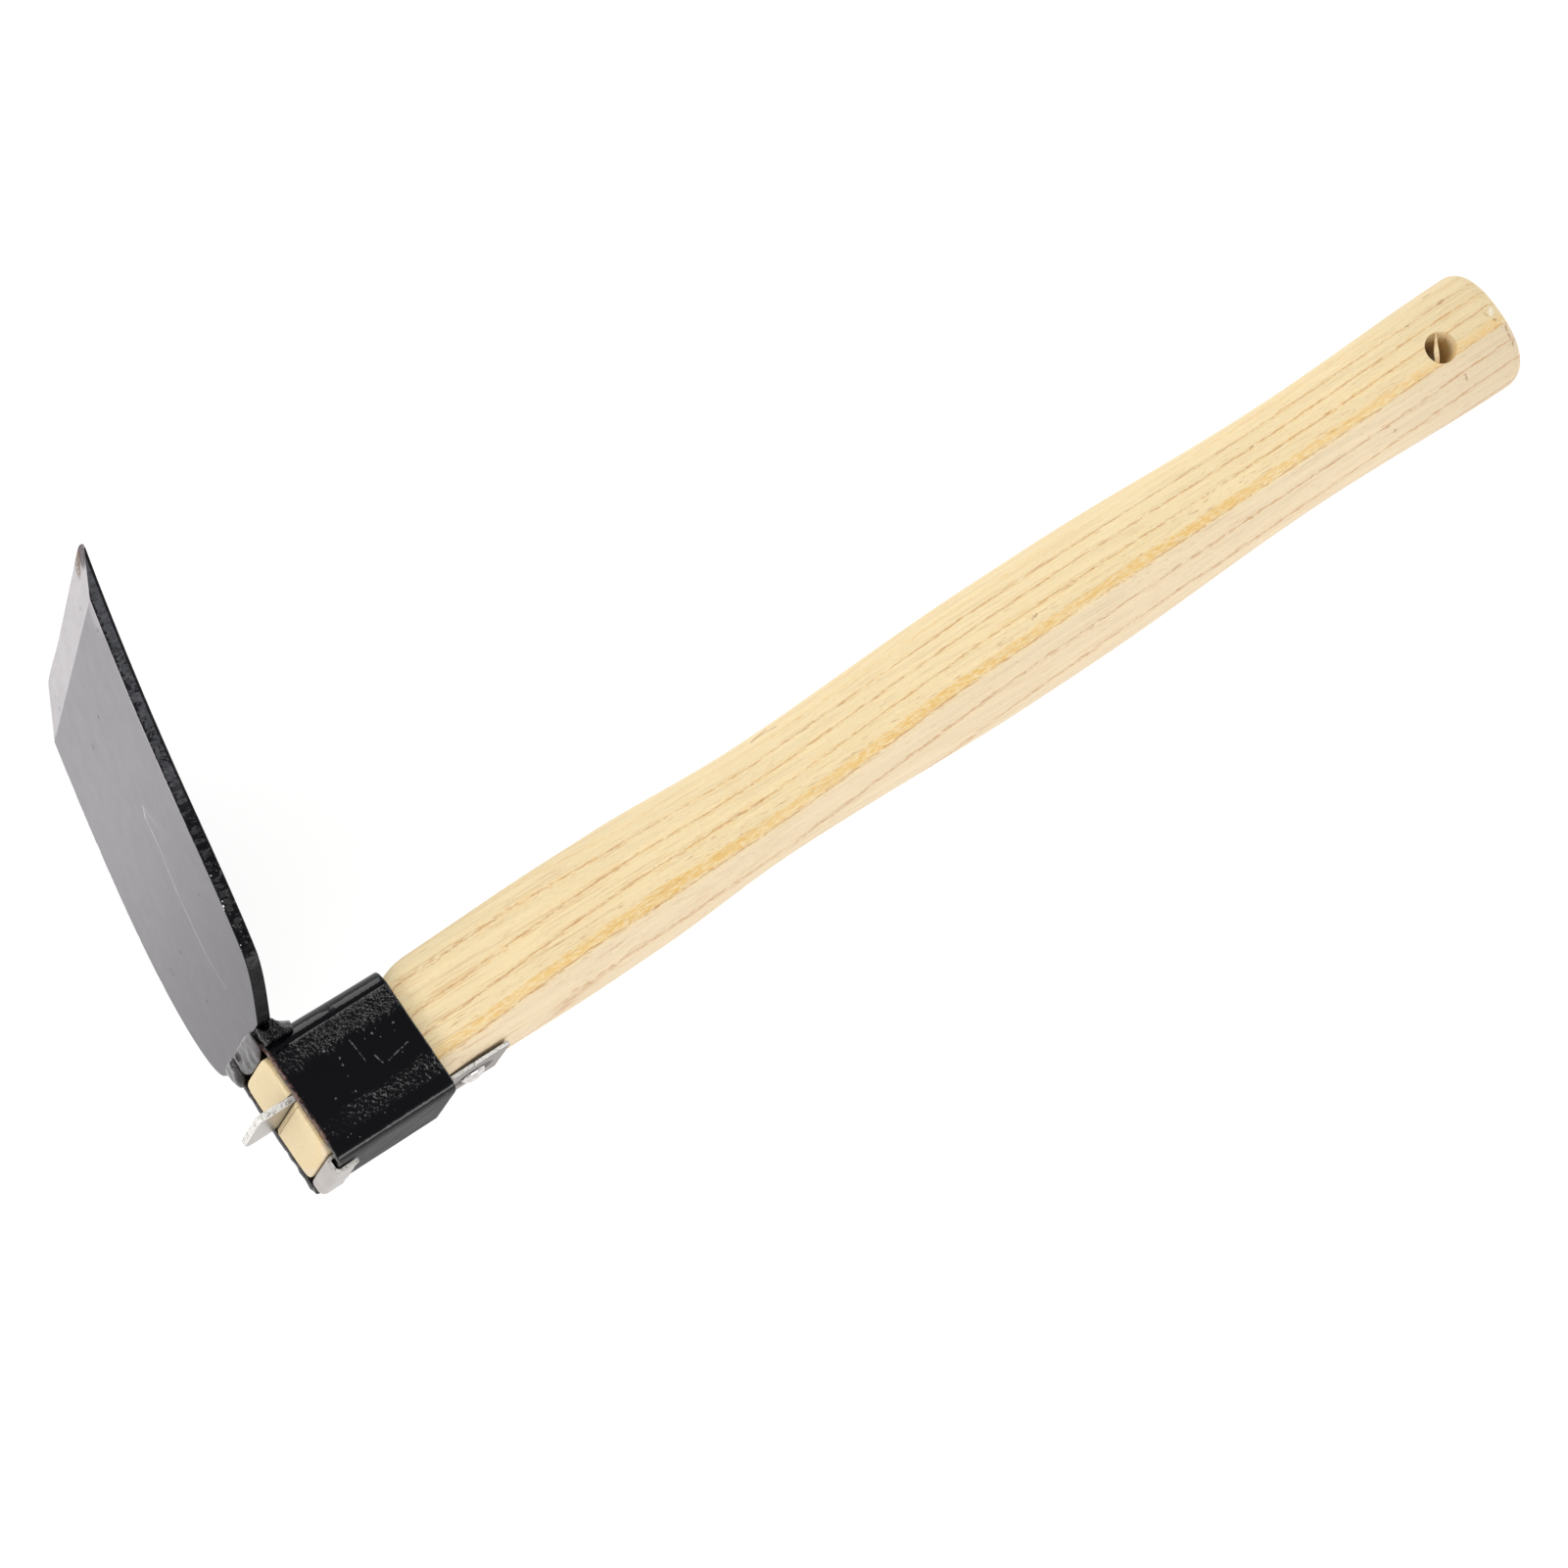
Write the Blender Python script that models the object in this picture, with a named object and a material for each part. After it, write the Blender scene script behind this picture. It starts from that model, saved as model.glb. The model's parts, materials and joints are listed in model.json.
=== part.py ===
"""Hand hoe: a steel blade welded to a steel socket, wedged and strapped onto an ash handle.

The tool is drawn in its own axes. X runs along the handle from the front of the socket to
the butt, Z points to the side that the blade stands on, and Y runs across the blade. The
whole tool is then laid on its +Y side, so that a long edge of the blade and the butt touch
the ground.
"""

import math

import bmesh
import bpy
from mathutils import Matrix, Vector

MM = 0.001

# Clearance between two pieces that touch
FIT_GAP = 0.3 * MM

# Socket: a rounded box section, a little lower at the rear than at the front
SOCKET_LENGTH = 35.5 * MM
SOCKET_HEIGHT = 36.6 * MM
SOCKET_WIDTH = 32.8 * MM
SOCKET_WALL = 2.3 * MM
SOCKET_TAPER = 0.6 * MM
SOCKET_TOP_RADIUS = 4.2 * MM
SOCKET_BOTTOM_RADIUS = 3.0 * MM
SOCKET_EDGE_BREAK = 0.35 * MM
SOCKET_LEAST_RADIUS = 0.3 * MM

# Retaining strap: sheet steel that lies under the handle and hooks round the socket
STRAP_THICKNESS = 1.1 * MM
STRAP_SIDE_GAP = 2.9 * MM
STRAP_LIFT = 0.45 * MM
STRAP_REAR_LENGTH = 19.0 * MM
STRAP_TAIL_LENGTH = 5.0 * MM
STRAP_TOP_BEND = 0.9 * MM
STRAP_LOWER_BEND = 1.4 * MM

# Nail that holds the strap's rear end to the handle
NAIL_BEHIND_SOCKET = 10.0 * MM
NAIL_SHANK_DIAMETER = 2.6 * MM
NAIL_SHANK_LENGTH = 17.0 * MM
NAIL_HEAD_DIAMETER = 7.0 * MM
NAIL_HEAD_HEIGHT = 1.8 * MM
NAIL_POINT_LENGTH = 4.0 * MM
NAIL_POINT_DIAMETER = 0.4 * MM

# Handle: a tenon inside the socket, then an oval grip with two swells and two waists.
# Every distance is measured from the front of the socket, every height is the full one.
HANDLE_LENGTH = 389.6 * MM
TENON_PROUD = 1.0 * MM
TENON_TOP_GAP = 1.5 * MM
TENON_EDGE_BREAK = 0.5 * MM
HANDLE_OFFSET = 1.4 * MM
HANDLE_RISE = 8.1 * MM
NECK_BEHIND_SOCKET = 7.0 * MM
NECK_HEIGHT = 31.9 * MM
FRONT_SWELL_START = 92.0 * MM
FRONT_SWELL_END = 104.0 * MM
FRONT_SWELL_HEIGHT = 33.9 * MM
FRONT_WAIST_AT = 149.0 * MM
FRONT_WAIST_HEIGHT = 30.3 * MM
REAR_SWELL_START = 226.0 * MM
REAR_SWELL_END = 242.0 * MM
REAR_SWELL_HEIGHT = 34.1 * MM
REAR_WAIST_AT = 323.0 * MM
REAR_WAIST_HEIGHT = 29.9 * MM
BUTT_FROM_END = 6.6 * MM
BUTT_HEIGHT = 32.8 * MM
BUTT_ROUNDING = 4.5 * MM
OVAL_RATIO = 0.89
TENON_SQUARENESS = 10.0
NECK_SQUARENESS = 5.0
GRIP_SQUARENESS = 2.25
SQUARE_END = 112.0 * MM

# Hang hole through the handle
HANG_HOLE_DIAMETER = 8.0 * MM
HANG_HOLE_FROM_BUTT = 21.6 * MM

# Wedge driven into a kerf in the tenon's end
WEDGE_SIDE_GAP = 0.6 * MM
WEDGE_PROUD = 10.7 * MM
WEDGE_DEPTH = 22.0 * MM
WEDGE_OUTER_THICKNESS = 2.1 * MM
WEDGE_INNER_THICKNESS = 0.8 * MM
WEDGE_HEIGHT_OFFSET = 2.0 * MM
WEDGE_NEAR_CORNER = 1.2 * MM
WEDGE_FAR_CORNER = 4.0 * MM
CRUSHED_LIP_HEIGHT = 1.1 * MM
CRUSHED_LIP_DEPTH = 1.3 * MM

# Blade: a plate that leans and bends a little towards the handle
BLADE_WIDTH = 92.5 * MM
BLADE_LENGTH = 119.6 * MM
BLADE_THICKNESS = 3.6 * MM
BLADE_LEAN = math.radians(6.6)
BLADE_BEND_RADIUS = 1000.0 * MM
BLADE_FOOT_NEAR = 23.0 * MM
BLADE_FOOT_FAR = 26.0 * MM
NEAR_CHAMFER_SLOPE = 1.75
BLADE_FOOT_ABOVE_SOCKET = 2.6 * MM
BLADE_SETBACK = 0.2 * MM
SHOULDER_LENGTH = 57.5 * MM
SHOULDER_POWER = 2.4
EDGE_SKEW = 12.0 * MM
BEVEL_WIDTH_NEAR = 16.2 * MM
BEVEL_WIDTH_FAR = 13.8 * MM
EDGE_THICKNESS = 0.3 * MM
TIP_CORNER = 1.6 * MM

# Weld beads between the blade's foot and the socket
REAR_WELD_UP = 4.2 * MM
REAR_WELD_BACK = 6.8 * MM
REAR_WELD_PAST_CHEEK = 3.2 * MM
REAR_WELD_TOE = 0.5 * MM
REAR_WELD_HOLLOW = 1.8
FRONT_WELD_UP = 1.0 * MM
FRONT_WELD_BELOW_WALL = 0.3 * MM
FRONT_WELD_BULGE = 1.8 * MM
NEAR_WELD_INSET = 0.9 * MM
NEAR_WELD_END = 7.0 * MM
FAR_WELD_START = 11.5 * MM
FAR_WELD_INSET = 1.5 * MM
WELD_END_SHARE = 0.34
WELD_END_POWER = 3.5
WELD_RIPPLE = 0.35 * MM
WELD_RIPPLE_PITCH = 6.5 * MM

# How finely the round shapes are divided
RING_POINTS = 40
GRIP_STEP = 9.0 * MM
CORNER_STEPS = 6
HOLE_STEPS = 24
BLADE_COLUMNS = 10
BLADE_ROWS = 14
BLADE_ROW_POWER = 2.2
WELD_STEPS = 26

SOCKET_TOP = SOCKET_HEIGHT / 2
SOCKET_BOTTOM = -SOCKET_HEIGHT / 2
CHEEK = SOCKET_WIDTH / 2
INNER_CHEEK = CHEEK - SOCKET_WALL
STRAP_WIDTH = 2 * (INNER_CHEEK - STRAP_SIDE_GAP)
WEDGE_WIDTH = 2 * (INNER_CHEEK - WEDGE_SIDE_GAP)
BUTT_AT = HANDLE_LENGTH - BUTT_FROM_END
NEAR_WELD_START = NEAR_WELD_INSET - CHEEK
FAR_WELD_END = BLADE_FOOT_FAR - FAR_WELD_INSET
BLADE_FOOT_Z = SOCKET_TOP + BLADE_FOOT_ABOVE_SOCKET


def material(name, colour, roughness, metallic):
    """A Principled material in one colour."""
    made = bpy.data.materials.new(name)
    made.use_nodes = True
    shader = made.node_tree.nodes["Principled BSDF"]
    shader.inputs["Base Color"].default_value = (*colour, 1.0)
    shader.inputs["Roughness"].default_value = roughness
    shader.inputs["Metallic"].default_value = metallic
    made.diffuse_color = (*colour, 1.0)
    return made


def smoothstep(low, high, value):
    """0 before low, 1 after high, and a smooth rise between."""
    if high <= low:
        return 1.0 if value >= high else 0.0
    t = min(1.0, max(0.0, (value - low) / (high - low)))
    return t * t * (3 - 2 * t)


def mix(a, b, share):
    return a + (b - a) * share


def finish_mesh(name, mesh_data, surface, parent):
    """Puts a bmesh into a new object with its faces pointing out."""
    bmesh.ops.recalc_face_normals(mesh_data, faces=mesh_data.faces)
    mesh = bpy.data.meshes.new(name)
    mesh_data.to_mesh(mesh)
    mesh_data.free()
    piece = bpy.data.objects.new(name, mesh)
    bpy.context.scene.collection.objects.link(piece)
    mesh.materials.append(surface)
    piece.parent = parent
    return piece


def loft(name, rings, surface, parent):
    """A closed body through rings that all have the same number of points."""
    body = bmesh.new()
    rows = [[body.verts.new(point) for point in ring] for ring in rings]
    count = len(rows[0])
    for lower, upper in zip(rows, rows[1:]):
        for i in range(count):
            j = (i + 1) % count
            body.faces.new((lower[i], lower[j], upper[j], upper[i]))
    body.faces.new(rows[0])
    body.faces.new(rows[-1])
    return finish_mesh(name, body, surface, parent)


def prism(name, outline, low, high, surface, parent):
    """An X-Z outline drawn out along Y from low to high."""
    rings = [[Vector((x, y, z)) for x, z in outline] for y in (low, high)]
    return loft(name, rings, surface, parent)


def rod(name, radius, low, high, steps, surface, parent):
    """A plain cylinder along its own Z axis from low to high."""
    rings = []
    for z in (low, high):
        angles = [2 * math.pi * i / steps for i in range(steps)]
        rings.append([Vector((radius * math.cos(a), radius * math.sin(a), z)) for a in angles])
    return loft(name, rings, surface, parent)


def make_cutter(piece):
    piece.hide_render = True
    piece.display_type = "WIRE"
    return piece


def cut(piece, cutter):
    change = piece.modifiers.new("cut_" + cutter.name, "BOOLEAN")
    change.operation = "DIFFERENCE"
    change.solver = "EXACT"
    change.object = cutter


def break_edges(piece, width, segments):
    change = piece.modifiers.new("edge_break", "BEVEL")
    change.width = width
    change.segments = segments
    change.limit_method = "ANGLE"
    change.angle_limit = math.radians(50)


def shade_round(piece, sharp_degrees):
    piece.data.shade_smooth()
    piece.data.set_sharp_from_angle(angle=math.radians(sharp_degrees))


def socket_outside(x):
    """Height of the socket's outer top and bottom at a distance behind its front."""
    lost = SOCKET_TAPER / 2 * x / SOCKET_LENGTH
    return SOCKET_TOP - lost, SOCKET_BOTTOM + lost


def socket_inside(x):
    top, bottom = socket_outside(x)
    return top - SOCKET_WALL, bottom + SOCKET_WALL


def rounded_box(x, half_width, bottom, top, bottom_radius, top_radius):
    """A ring in the plane at x: a box with one radius above and another below."""
    corners = (
        (half_width - top_radius, top - top_radius, top_radius, 0),
        (-half_width + top_radius, top - top_radius, top_radius, 90),
        (-half_width + bottom_radius, bottom + bottom_radius, bottom_radius, 180),
        (half_width - bottom_radius, bottom + bottom_radius, bottom_radius, 270),
    )
    ring = []
    for y, z, radius, start in corners:
        for i in range(CORNER_STEPS + 1):
            angle = math.radians(start + 90 * i / CORNER_STEPS)
            ring.append(Vector((x, y + radius * math.cos(angle), z + radius * math.sin(angle))))
    return ring


def build_socket(parent, surface):
    """The box section, open at both ends."""
    inner_top_radius = max(SOCKET_LEAST_RADIUS, SOCKET_TOP_RADIUS - SOCKET_WALL)
    inner_bottom_radius = max(SOCKET_LEAST_RADIUS, SOCKET_BOTTOM_RADIUS - SOCKET_WALL)
    body = bmesh.new()
    rows = []
    for x, outside in ((0.0, True), (SOCKET_LENGTH, True), (SOCKET_LENGTH, False), (0.0, False)):
        if outside:
            top, bottom = socket_outside(x)
            ring = rounded_box(x, CHEEK, bottom, top, SOCKET_BOTTOM_RADIUS, SOCKET_TOP_RADIUS)
        else:
            top, bottom = socket_inside(x)
            ring = rounded_box(x, INNER_CHEEK, bottom, top, inner_bottom_radius, inner_top_radius)
        rows.append([body.verts.new(point) for point in ring])
    count = len(rows[0])
    for first, second in zip(rows, rows[1:] + rows[:1]):
        for i in range(count):
            j = (i + 1) % count
            body.faces.new((first[i], first[j], second[j], second[i]))
    piece = finish_mesh("socket", body, surface, parent)
    break_edges(piece, SOCKET_EDGE_BREAK, 2)
    return piece


def strap_seat(x):
    """Height of the strap's upper face: it climbs a little through the socket, then runs level."""
    inside = min(x, SOCKET_LENGTH)
    lift = STRAP_LIFT * max(0.0, inside) / SOCKET_LENGTH
    return socket_inside(inside)[1] + FIT_GAP + STRAP_THICKNESS + lift


def grip_height(x):
    """Full height of the grip: smooth steps between swells and waists."""
    stations = (
        (SOCKET_LENGTH + NECK_BEHIND_SOCKET, NECK_HEIGHT),
        (FRONT_SWELL_START, FRONT_SWELL_HEIGHT),
        (FRONT_SWELL_END, FRONT_SWELL_HEIGHT),
        (FRONT_WAIST_AT, FRONT_WAIST_HEIGHT),
        (REAR_SWELL_START, REAR_SWELL_HEIGHT),
        (REAR_SWELL_END, REAR_SWELL_HEIGHT),
        (REAR_WAIST_AT, REAR_WAIST_HEIGHT),
        (BUTT_AT, BUTT_HEIGHT),
    )
    height = stations[0][1]
    for (start, low), (end, high) in zip(stations, stations[1:]):
        if x >= start:
            height = mix(low, high, smoothstep(start, end, x))
    return height


def handle_axis(x):
    """Height of the grip's middle."""
    return HANDLE_OFFSET + HANDLE_RISE * x / HANDLE_LENGTH


def handle_section(x):
    """Half width, bottom, top and squareness of the wood at x."""
    middle = handle_axis(x)
    half = grip_height(x) / 2
    neck = SOCKET_LENGTH + NECK_BEHIND_SOCKET
    grip_share = smoothstep(neck, SQUARE_END, x)
    squareness = mix(NECK_SQUARENESS, GRIP_SQUARENESS, grip_share)
    grip = (half * OVAL_RATIO, middle - half, middle + half, squareness)
    tenon_end = SOCKET_LENGTH + FIT_GAP
    at = min(x, tenon_end)
    roof, floor = socket_inside(at)
    top_gap = mix(TENON_TOP_GAP, FIT_GAP, max(0.0, at) / tenon_end)
    tenon = (
        INNER_CHEEK - FIT_GAP,
        strap_seat(at) + FIT_GAP,
        roof - top_gap,
        TENON_SQUARENESS,
    )
    share = smoothstep(tenon_end, neck, x)
    return [mix(a, b, share) for a, b in zip(tenon, grip)]


def handle_ring(x, section, inset):
    """Points of a superellipse, drawn in by inset on every side."""
    half_width, bottom, top, squareness = section
    half_width -= inset
    half_height = (top - bottom) / 2 - inset
    middle = (top + bottom) / 2
    ring = []
    for i in range(RING_POINTS):
        angle = 2 * math.pi * (i + 0.5) / RING_POINTS
        c, s = math.cos(angle), math.sin(angle)
        reach = (abs(c) ** squareness + abs(s) ** squareness) ** (-1 / squareness)
        ring.append(Vector((x, half_width * reach * c, middle + half_height * reach * s)))
    return ring


def build_handle(parent, surface):
    """Tenon, grip and rounded butt in one piece of wood."""
    rings = [
        handle_ring(-TENON_PROUD, handle_section(0.0), TENON_EDGE_BREAK),
        handle_ring(-TENON_PROUD + TENON_EDGE_BREAK, handle_section(0.0), 0.0),
    ]
    tenon_end = SOCKET_LENGTH + FIT_GAP
    neck = SOCKET_LENGTH + NECK_BEHIND_SOCKET
    spots = [0.0, tenon_end / 2, tenon_end]
    spots += [mix(tenon_end, neck, share) for share in (0.15, 0.3, 0.5, 0.75)]
    grip_end = HANDLE_LENGTH - BUTT_ROUNDING
    steps = max(4, round((grip_end - neck) / GRIP_STEP))
    spots += [mix(neck, grip_end, i / steps) for i in range(steps + 1)]
    for x in spots:
        rings.append(handle_ring(x, handle_section(x), 0.0))
    for i in range(1, 5):
        angle = math.pi / 2 * i / 4
        x = grip_end + BUTT_ROUNDING * math.sin(angle)
        rings.append(handle_ring(x, handle_section(x), BUTT_ROUNDING * (1 - math.cos(angle))))
    handle = loft("handle", rings, surface, parent)
    shade_round(handle, 35)
    return handle


def wedge_outline(front, grow):
    """X-Z outline of the wedge from front to its inner end, grown on its faces by grow."""
    slope = (WEDGE_OUTER_THICKNESS - WEDGE_INNER_THICKNESS) / (WEDGE_PROUD + WEDGE_DEPTH)
    back = WEDGE_DEPTH + grow
    front_half = (WEDGE_OUTER_THICKNESS + slope * (-WEDGE_PROUD - front)) / 2 + grow
    back_half = WEDGE_INNER_THICKNESS / 2 + grow
    z = WEDGE_HEIGHT_OFFSET
    return [(front, z - front_half), (back, z - back_half), (back, z + back_half), (front, z + front_half)]


def cut_handle(handle, parent, surface):
    """Kerf for the wedge, the crushed lip below it, the nail's hole and the hang hole."""
    beyond = SOCKET_WIDTH
    front = -TENON_PROUD - CRUSHED_LIP_DEPTH
    kerf = prism("kerf_cutter", wedge_outline(front, FIT_GAP), -beyond, beyond, surface, parent)
    slope = (WEDGE_OUTER_THICKNESS - WEDGE_INNER_THICKNESS) / (WEDGE_PROUD + WEDGE_DEPTH)
    lip_top = WEDGE_HEIGHT_OFFSET - WEDGE_OUTER_THICKNESS / 2 + slope * WEDGE_PROUD / 2 - FIT_GAP
    lip_outline = [
        (front, lip_top + FIT_GAP),
        (front, lip_top - CRUSHED_LIP_HEIGHT),
        (-TENON_PROUD + CRUSHED_LIP_DEPTH, lip_top - CRUSHED_LIP_HEIGHT / 2),
        (-TENON_PROUD + CRUSHED_LIP_DEPTH, lip_top + FIT_GAP),
    ]
    lip = prism("lip_cutter", lip_outline, -beyond, beyond, surface, parent)
    nail_radius = NAIL_SHANK_DIAMETER / 2 + FIT_GAP
    nail_end = NAIL_SHANK_LENGTH + FIT_GAP
    nail_hole = rod("nail_hole_cutter", nail_radius, -nail_end, nail_end, HOLE_STEPS, surface, parent)
    nail_hole.location = (nail_place(), 0.0, nail_start())
    hole_radius = HANG_HOLE_DIAMETER / 2
    hole = rod("hang_hole_cutter", hole_radius, -BUTT_HEIGHT, BUTT_HEIGHT, HOLE_STEPS, surface, parent)
    hole_x = HANDLE_LENGTH - HANG_HOLE_FROM_BUTT
    hole.location = (hole_x, 0.0, handle_axis(hole_x))
    hole.rotation_euler = (math.pi / 2, 0.0, 0.0)
    for cutter in (kerf, lip, nail_hole, hole):
        cut(handle, make_cutter(cutter))


def nail_place():
    return SOCKET_LENGTH + NAIL_BEHIND_SOCKET


def nail_start():
    """Height of the strap's outer face where the nail's head sits."""
    return strap_seat(nail_place()) - STRAP_THICKNESS


def build_wedge(parent, surface):
    """A flat tapered plate with its two outer corners rounded."""
    outline = wedge_outline(-WEDGE_PROUD, 0.0)
    half = WEDGE_WIDTH / 2
    corners = []
    for side, radius in ((-1, WEDGE_NEAR_CORNER), (1, WEDGE_FAR_CORNER)):
        arc = []
        for i in range(CORNER_STEPS + 1):
            angle = math.pi / 2 * i / CORNER_STEPS
            x = -WEDGE_PROUD + radius * (1 - math.cos(angle))
            arc.append((x, side * (half - radius * (1 - math.sin(angle)))))
        corners.append(arc)
    plan = corners[0][::-1] + corners[1] + [(WEDGE_DEPTH, half), (WEDGE_DEPTH, -half)]
    (front, low_front), (back, low_back), _, (_, high_front) = outline
    high_back = outline[2][1]
    rings = []
    for z_front, z_back in ((low_front, low_back), (high_front, high_back)):
        ring = []
        for x, y in plan:
            share = (x - front) / (back - front)
            ring.append(Vector((x, y, mix(z_front, z_back, share))))
        rings.append(ring)
    return loft("wedge", rings, surface, parent)


def strap_centreline():
    """X-Z points along the middle of the strap, from its rear end to its tail."""
    half = STRAP_THICKNESS / 2
    rear = SOCKET_LENGTH + STRAP_REAR_LENGTH
    level = strap_seat(0.0) - half
    face = -FIT_GAP - half
    under = socket_outside(0.0)[1] - FIT_GAP - half
    points = [(rear, strap_seat(rear) - half), (SOCKET_LENGTH, strap_seat(SOCKET_LENGTH) - half)]
    steps = 5
    for i in range(steps + 1):
        angle = math.pi / 2 * i / steps
        x = face + STRAP_TOP_BEND * (1 - math.sin(angle))
        points.append((x, level - STRAP_TOP_BEND * (1 - math.cos(angle))))
    for i in range(steps + 1):
        angle = math.pi / 2 * i / steps
        x = face + STRAP_LOWER_BEND * (1 - math.cos(angle))
        points.append((x, under + STRAP_LOWER_BEND * (1 - math.sin(angle))))
    slope = SOCKET_TAPER / 2 / SOCKET_LENGTH
    points.append((STRAP_TAIL_LENGTH, under + slope * STRAP_TAIL_LENGTH))
    return points


def offset_line(points, distance):
    """The same line moved sideways, mitred at its bends."""
    moved = []
    for i, (x, z) in enumerate(points):
        before = Vector(points[max(0, i - 1)])
        here = Vector((x, z))
        after = Vector(points[min(len(points) - 1, i + 1)])
        first = (here - before) if i > 0 else (after - here)
        second = (after - here) if i < len(points) - 1 else (here - before)
        n1 = Vector((-first.y, first.x)).normalized()
        n2 = Vector((-second.y, second.x)).normalized()
        bisector = (n1 + n2).normalized()
        shift = bisector * (distance / max(0.5, bisector.dot(n1)))
        moved.append((x + shift.x, z + shift.y))
    return moved


def build_strap(parent, surface, cutter_surface):
    """The bent strip, with a hole for the nail."""
    middle = strap_centreline()
    half = STRAP_THICKNESS / 2
    outline = offset_line(middle, half) + offset_line(middle, -half)[::-1]
    strap = prism("retaining_strap", outline, -STRAP_WIDTH / 2, STRAP_WIDTH / 2, surface, parent)
    hole = rod(
        "strap_hole_cutter",
        NAIL_SHANK_DIAMETER / 2 + FIT_GAP,
        -STRAP_THICKNESS * 3,
        STRAP_THICKNESS * 3,
        HOLE_STEPS,
        cutter_surface,
        parent,
    )
    hole.location = (nail_place(), 0.0, nail_start() + half)
    cut(strap, make_cutter(hole))
    return strap


def build_nail(parent, surface):
    """A round-headed nail, turned about its own axis."""
    rings = []
    radius = NAIL_SHANK_DIAMETER / 2
    head_radius = NAIL_HEAD_DIAMETER / 2
    profile = []
    for degrees in (10, 28, 46, 64, 80):
        angle = math.radians(degrees)
        profile.append((head_radius * math.sin(angle), -NAIL_HEAD_HEIGHT * math.cos(angle)))
    profile.append((head_radius, 0.0))
    profile.append((radius, 0.0))
    profile.append((radius, NAIL_SHANK_LENGTH - NAIL_POINT_LENGTH))
    profile.append((NAIL_POINT_DIAMETER / 2, NAIL_SHANK_LENGTH))
    for distance, z in profile:
        angles = [2 * math.pi * i / HOLE_STEPS for i in range(HOLE_STEPS)]
        rings.append([Vector((distance * math.cos(a), distance * math.sin(a), z)) for a in angles])
    nail = loft("strap_nail", rings, surface, parent)
    nail.location = (nail_place(), 0.0, nail_start() - FIT_GAP)
    shade_round(nail, 40)
    return nail


def shoulder_half_width(along, side):
    """Width from the blade's middle to its near or far edge, at a distance from its foot."""
    full = BLADE_WIDTH / 2
    width = full
    if along < SHOULDER_LENGTH:
        rest = 1 - along / SHOULDER_LENGTH
        round_share = (1 - rest ** SHOULDER_POWER) ** (1 / SHOULDER_POWER)
        width = mix(BLADE_FOOT_FAR, full, round_share)
    if side < 0:
        width = min(width, BLADE_FOOT_NEAR + NEAR_CHAMFER_SLOPE * along)
    return width


def blade_point(along, across, depth):
    """A point of the blade in its own axes: Z away from the foot, X into its thickness."""
    turn = along / BLADE_BEND_RADIUS
    reach = BLADE_BEND_RADIUS - depth
    x = BLADE_BEND_RADIUS - reach * math.cos(turn)
    return Vector((x, across, reach * math.sin(turn)))


def edge_line(across):
    """Distance from the foot to the cutting edge, which runs at a slant."""
    half = BLADE_WIDTH / 2
    straight = BLADE_LENGTH - EDGE_SKEW * across / BLADE_WIDTH
    over = abs(across) - (half - TIP_CORNER)
    if over <= 0:
        return straight
    over = min(over, TIP_CORNER)
    return straight - TIP_CORNER + math.sqrt(TIP_CORNER ** 2 - over ** 2)


def bevel_line(across):
    """Distance from the foot to the line where the ground bevel starts."""
    share = across / BLADE_WIDTH + 0.5
    straight = BLADE_LENGTH - EDGE_SKEW * across / BLADE_WIDTH
    return straight - mix(BEVEL_WIDTH_NEAR, BEVEL_WIDTH_FAR, share)


def blade_columns():
    """Where the blade's rows of points lie across it, closer together at its two corners."""
    half = BLADE_WIDTH / 2
    inner = half - TIP_CORNER
    middle = [mix(-inner, inner, i / BLADE_COLUMNS) for i in range(BLADE_COLUMNS + 1)]
    ends = [inner + TIP_CORNER * math.sin(math.radians(a)) for a in (30, 60, 90)]
    return [-y for y in ends[::-1]] + middle + ends


def build_blade(parent, surface):
    """The plate: rows from the foot to the bevel, then on to the cutting edge."""
    half = BLADE_WIDTH / 2
    shares = [(i / BLADE_ROWS) ** BLADE_ROW_POWER for i in range(BLADE_ROWS + 1)]
    body = bmesh.new()
    front, back = [], []
    for share in shares:
        rows = ([], [])
        for across in blade_columns():
            along = share * bevel_line(across)
            y = across / half * shoulder_half_width(along, across)
            rows[0].append(body.verts.new(blade_point(along, y, 0.0)))
            rows[1].append(body.verts.new(blade_point(along, y, BLADE_THICKNESS)))
        front.append(rows[0])
        back.append(rows[1])
    rows = ([], [])
    for across in blade_columns():
        along = edge_line(across)
        rows[0].append(body.verts.new(blade_point(along, across, BLADE_THICKNESS - EDGE_THICKNESS)))
        rows[1].append(body.verts.new(blade_point(along, across, BLADE_THICKNESS)))
    front.append(rows[0])
    back.append(rows[1])
    last = len(front[0]) - 1
    for i in range(len(front) - 1):
        for j in range(last):
            body.faces.new((front[i][j], front[i][j + 1], front[i + 1][j + 1], front[i + 1][j]))
            body.faces.new((back[i][j], back[i + 1][j], back[i + 1][j + 1], back[i][j + 1]))
        for j in (0, last):
            body.faces.new((front[i][j], front[i + 1][j], back[i + 1][j], back[i][j]))
    for i in (0, len(front) - 1):
        for j in range(last):
            body.faces.new((front[i][j], back[i][j], back[i][j + 1], front[i][j + 1]))
    blade = finish_mesh("blade", body, surface, parent)
    blade.location = (BLADE_SETBACK, 0.0, BLADE_FOOT_Z)
    blade.rotation_euler = (0.0, BLADE_LEAN, 0.0)
    return blade


def on_blade(along, across, depth):
    """A point of the blade in the tool's axes."""
    turned = Matrix.Rotation(BLADE_LEAN, 3, "Y") @ blade_point(along, across, depth)
    return turned + Vector((BLADE_SETBACK, 0.0, BLADE_FOOT_Z))


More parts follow.
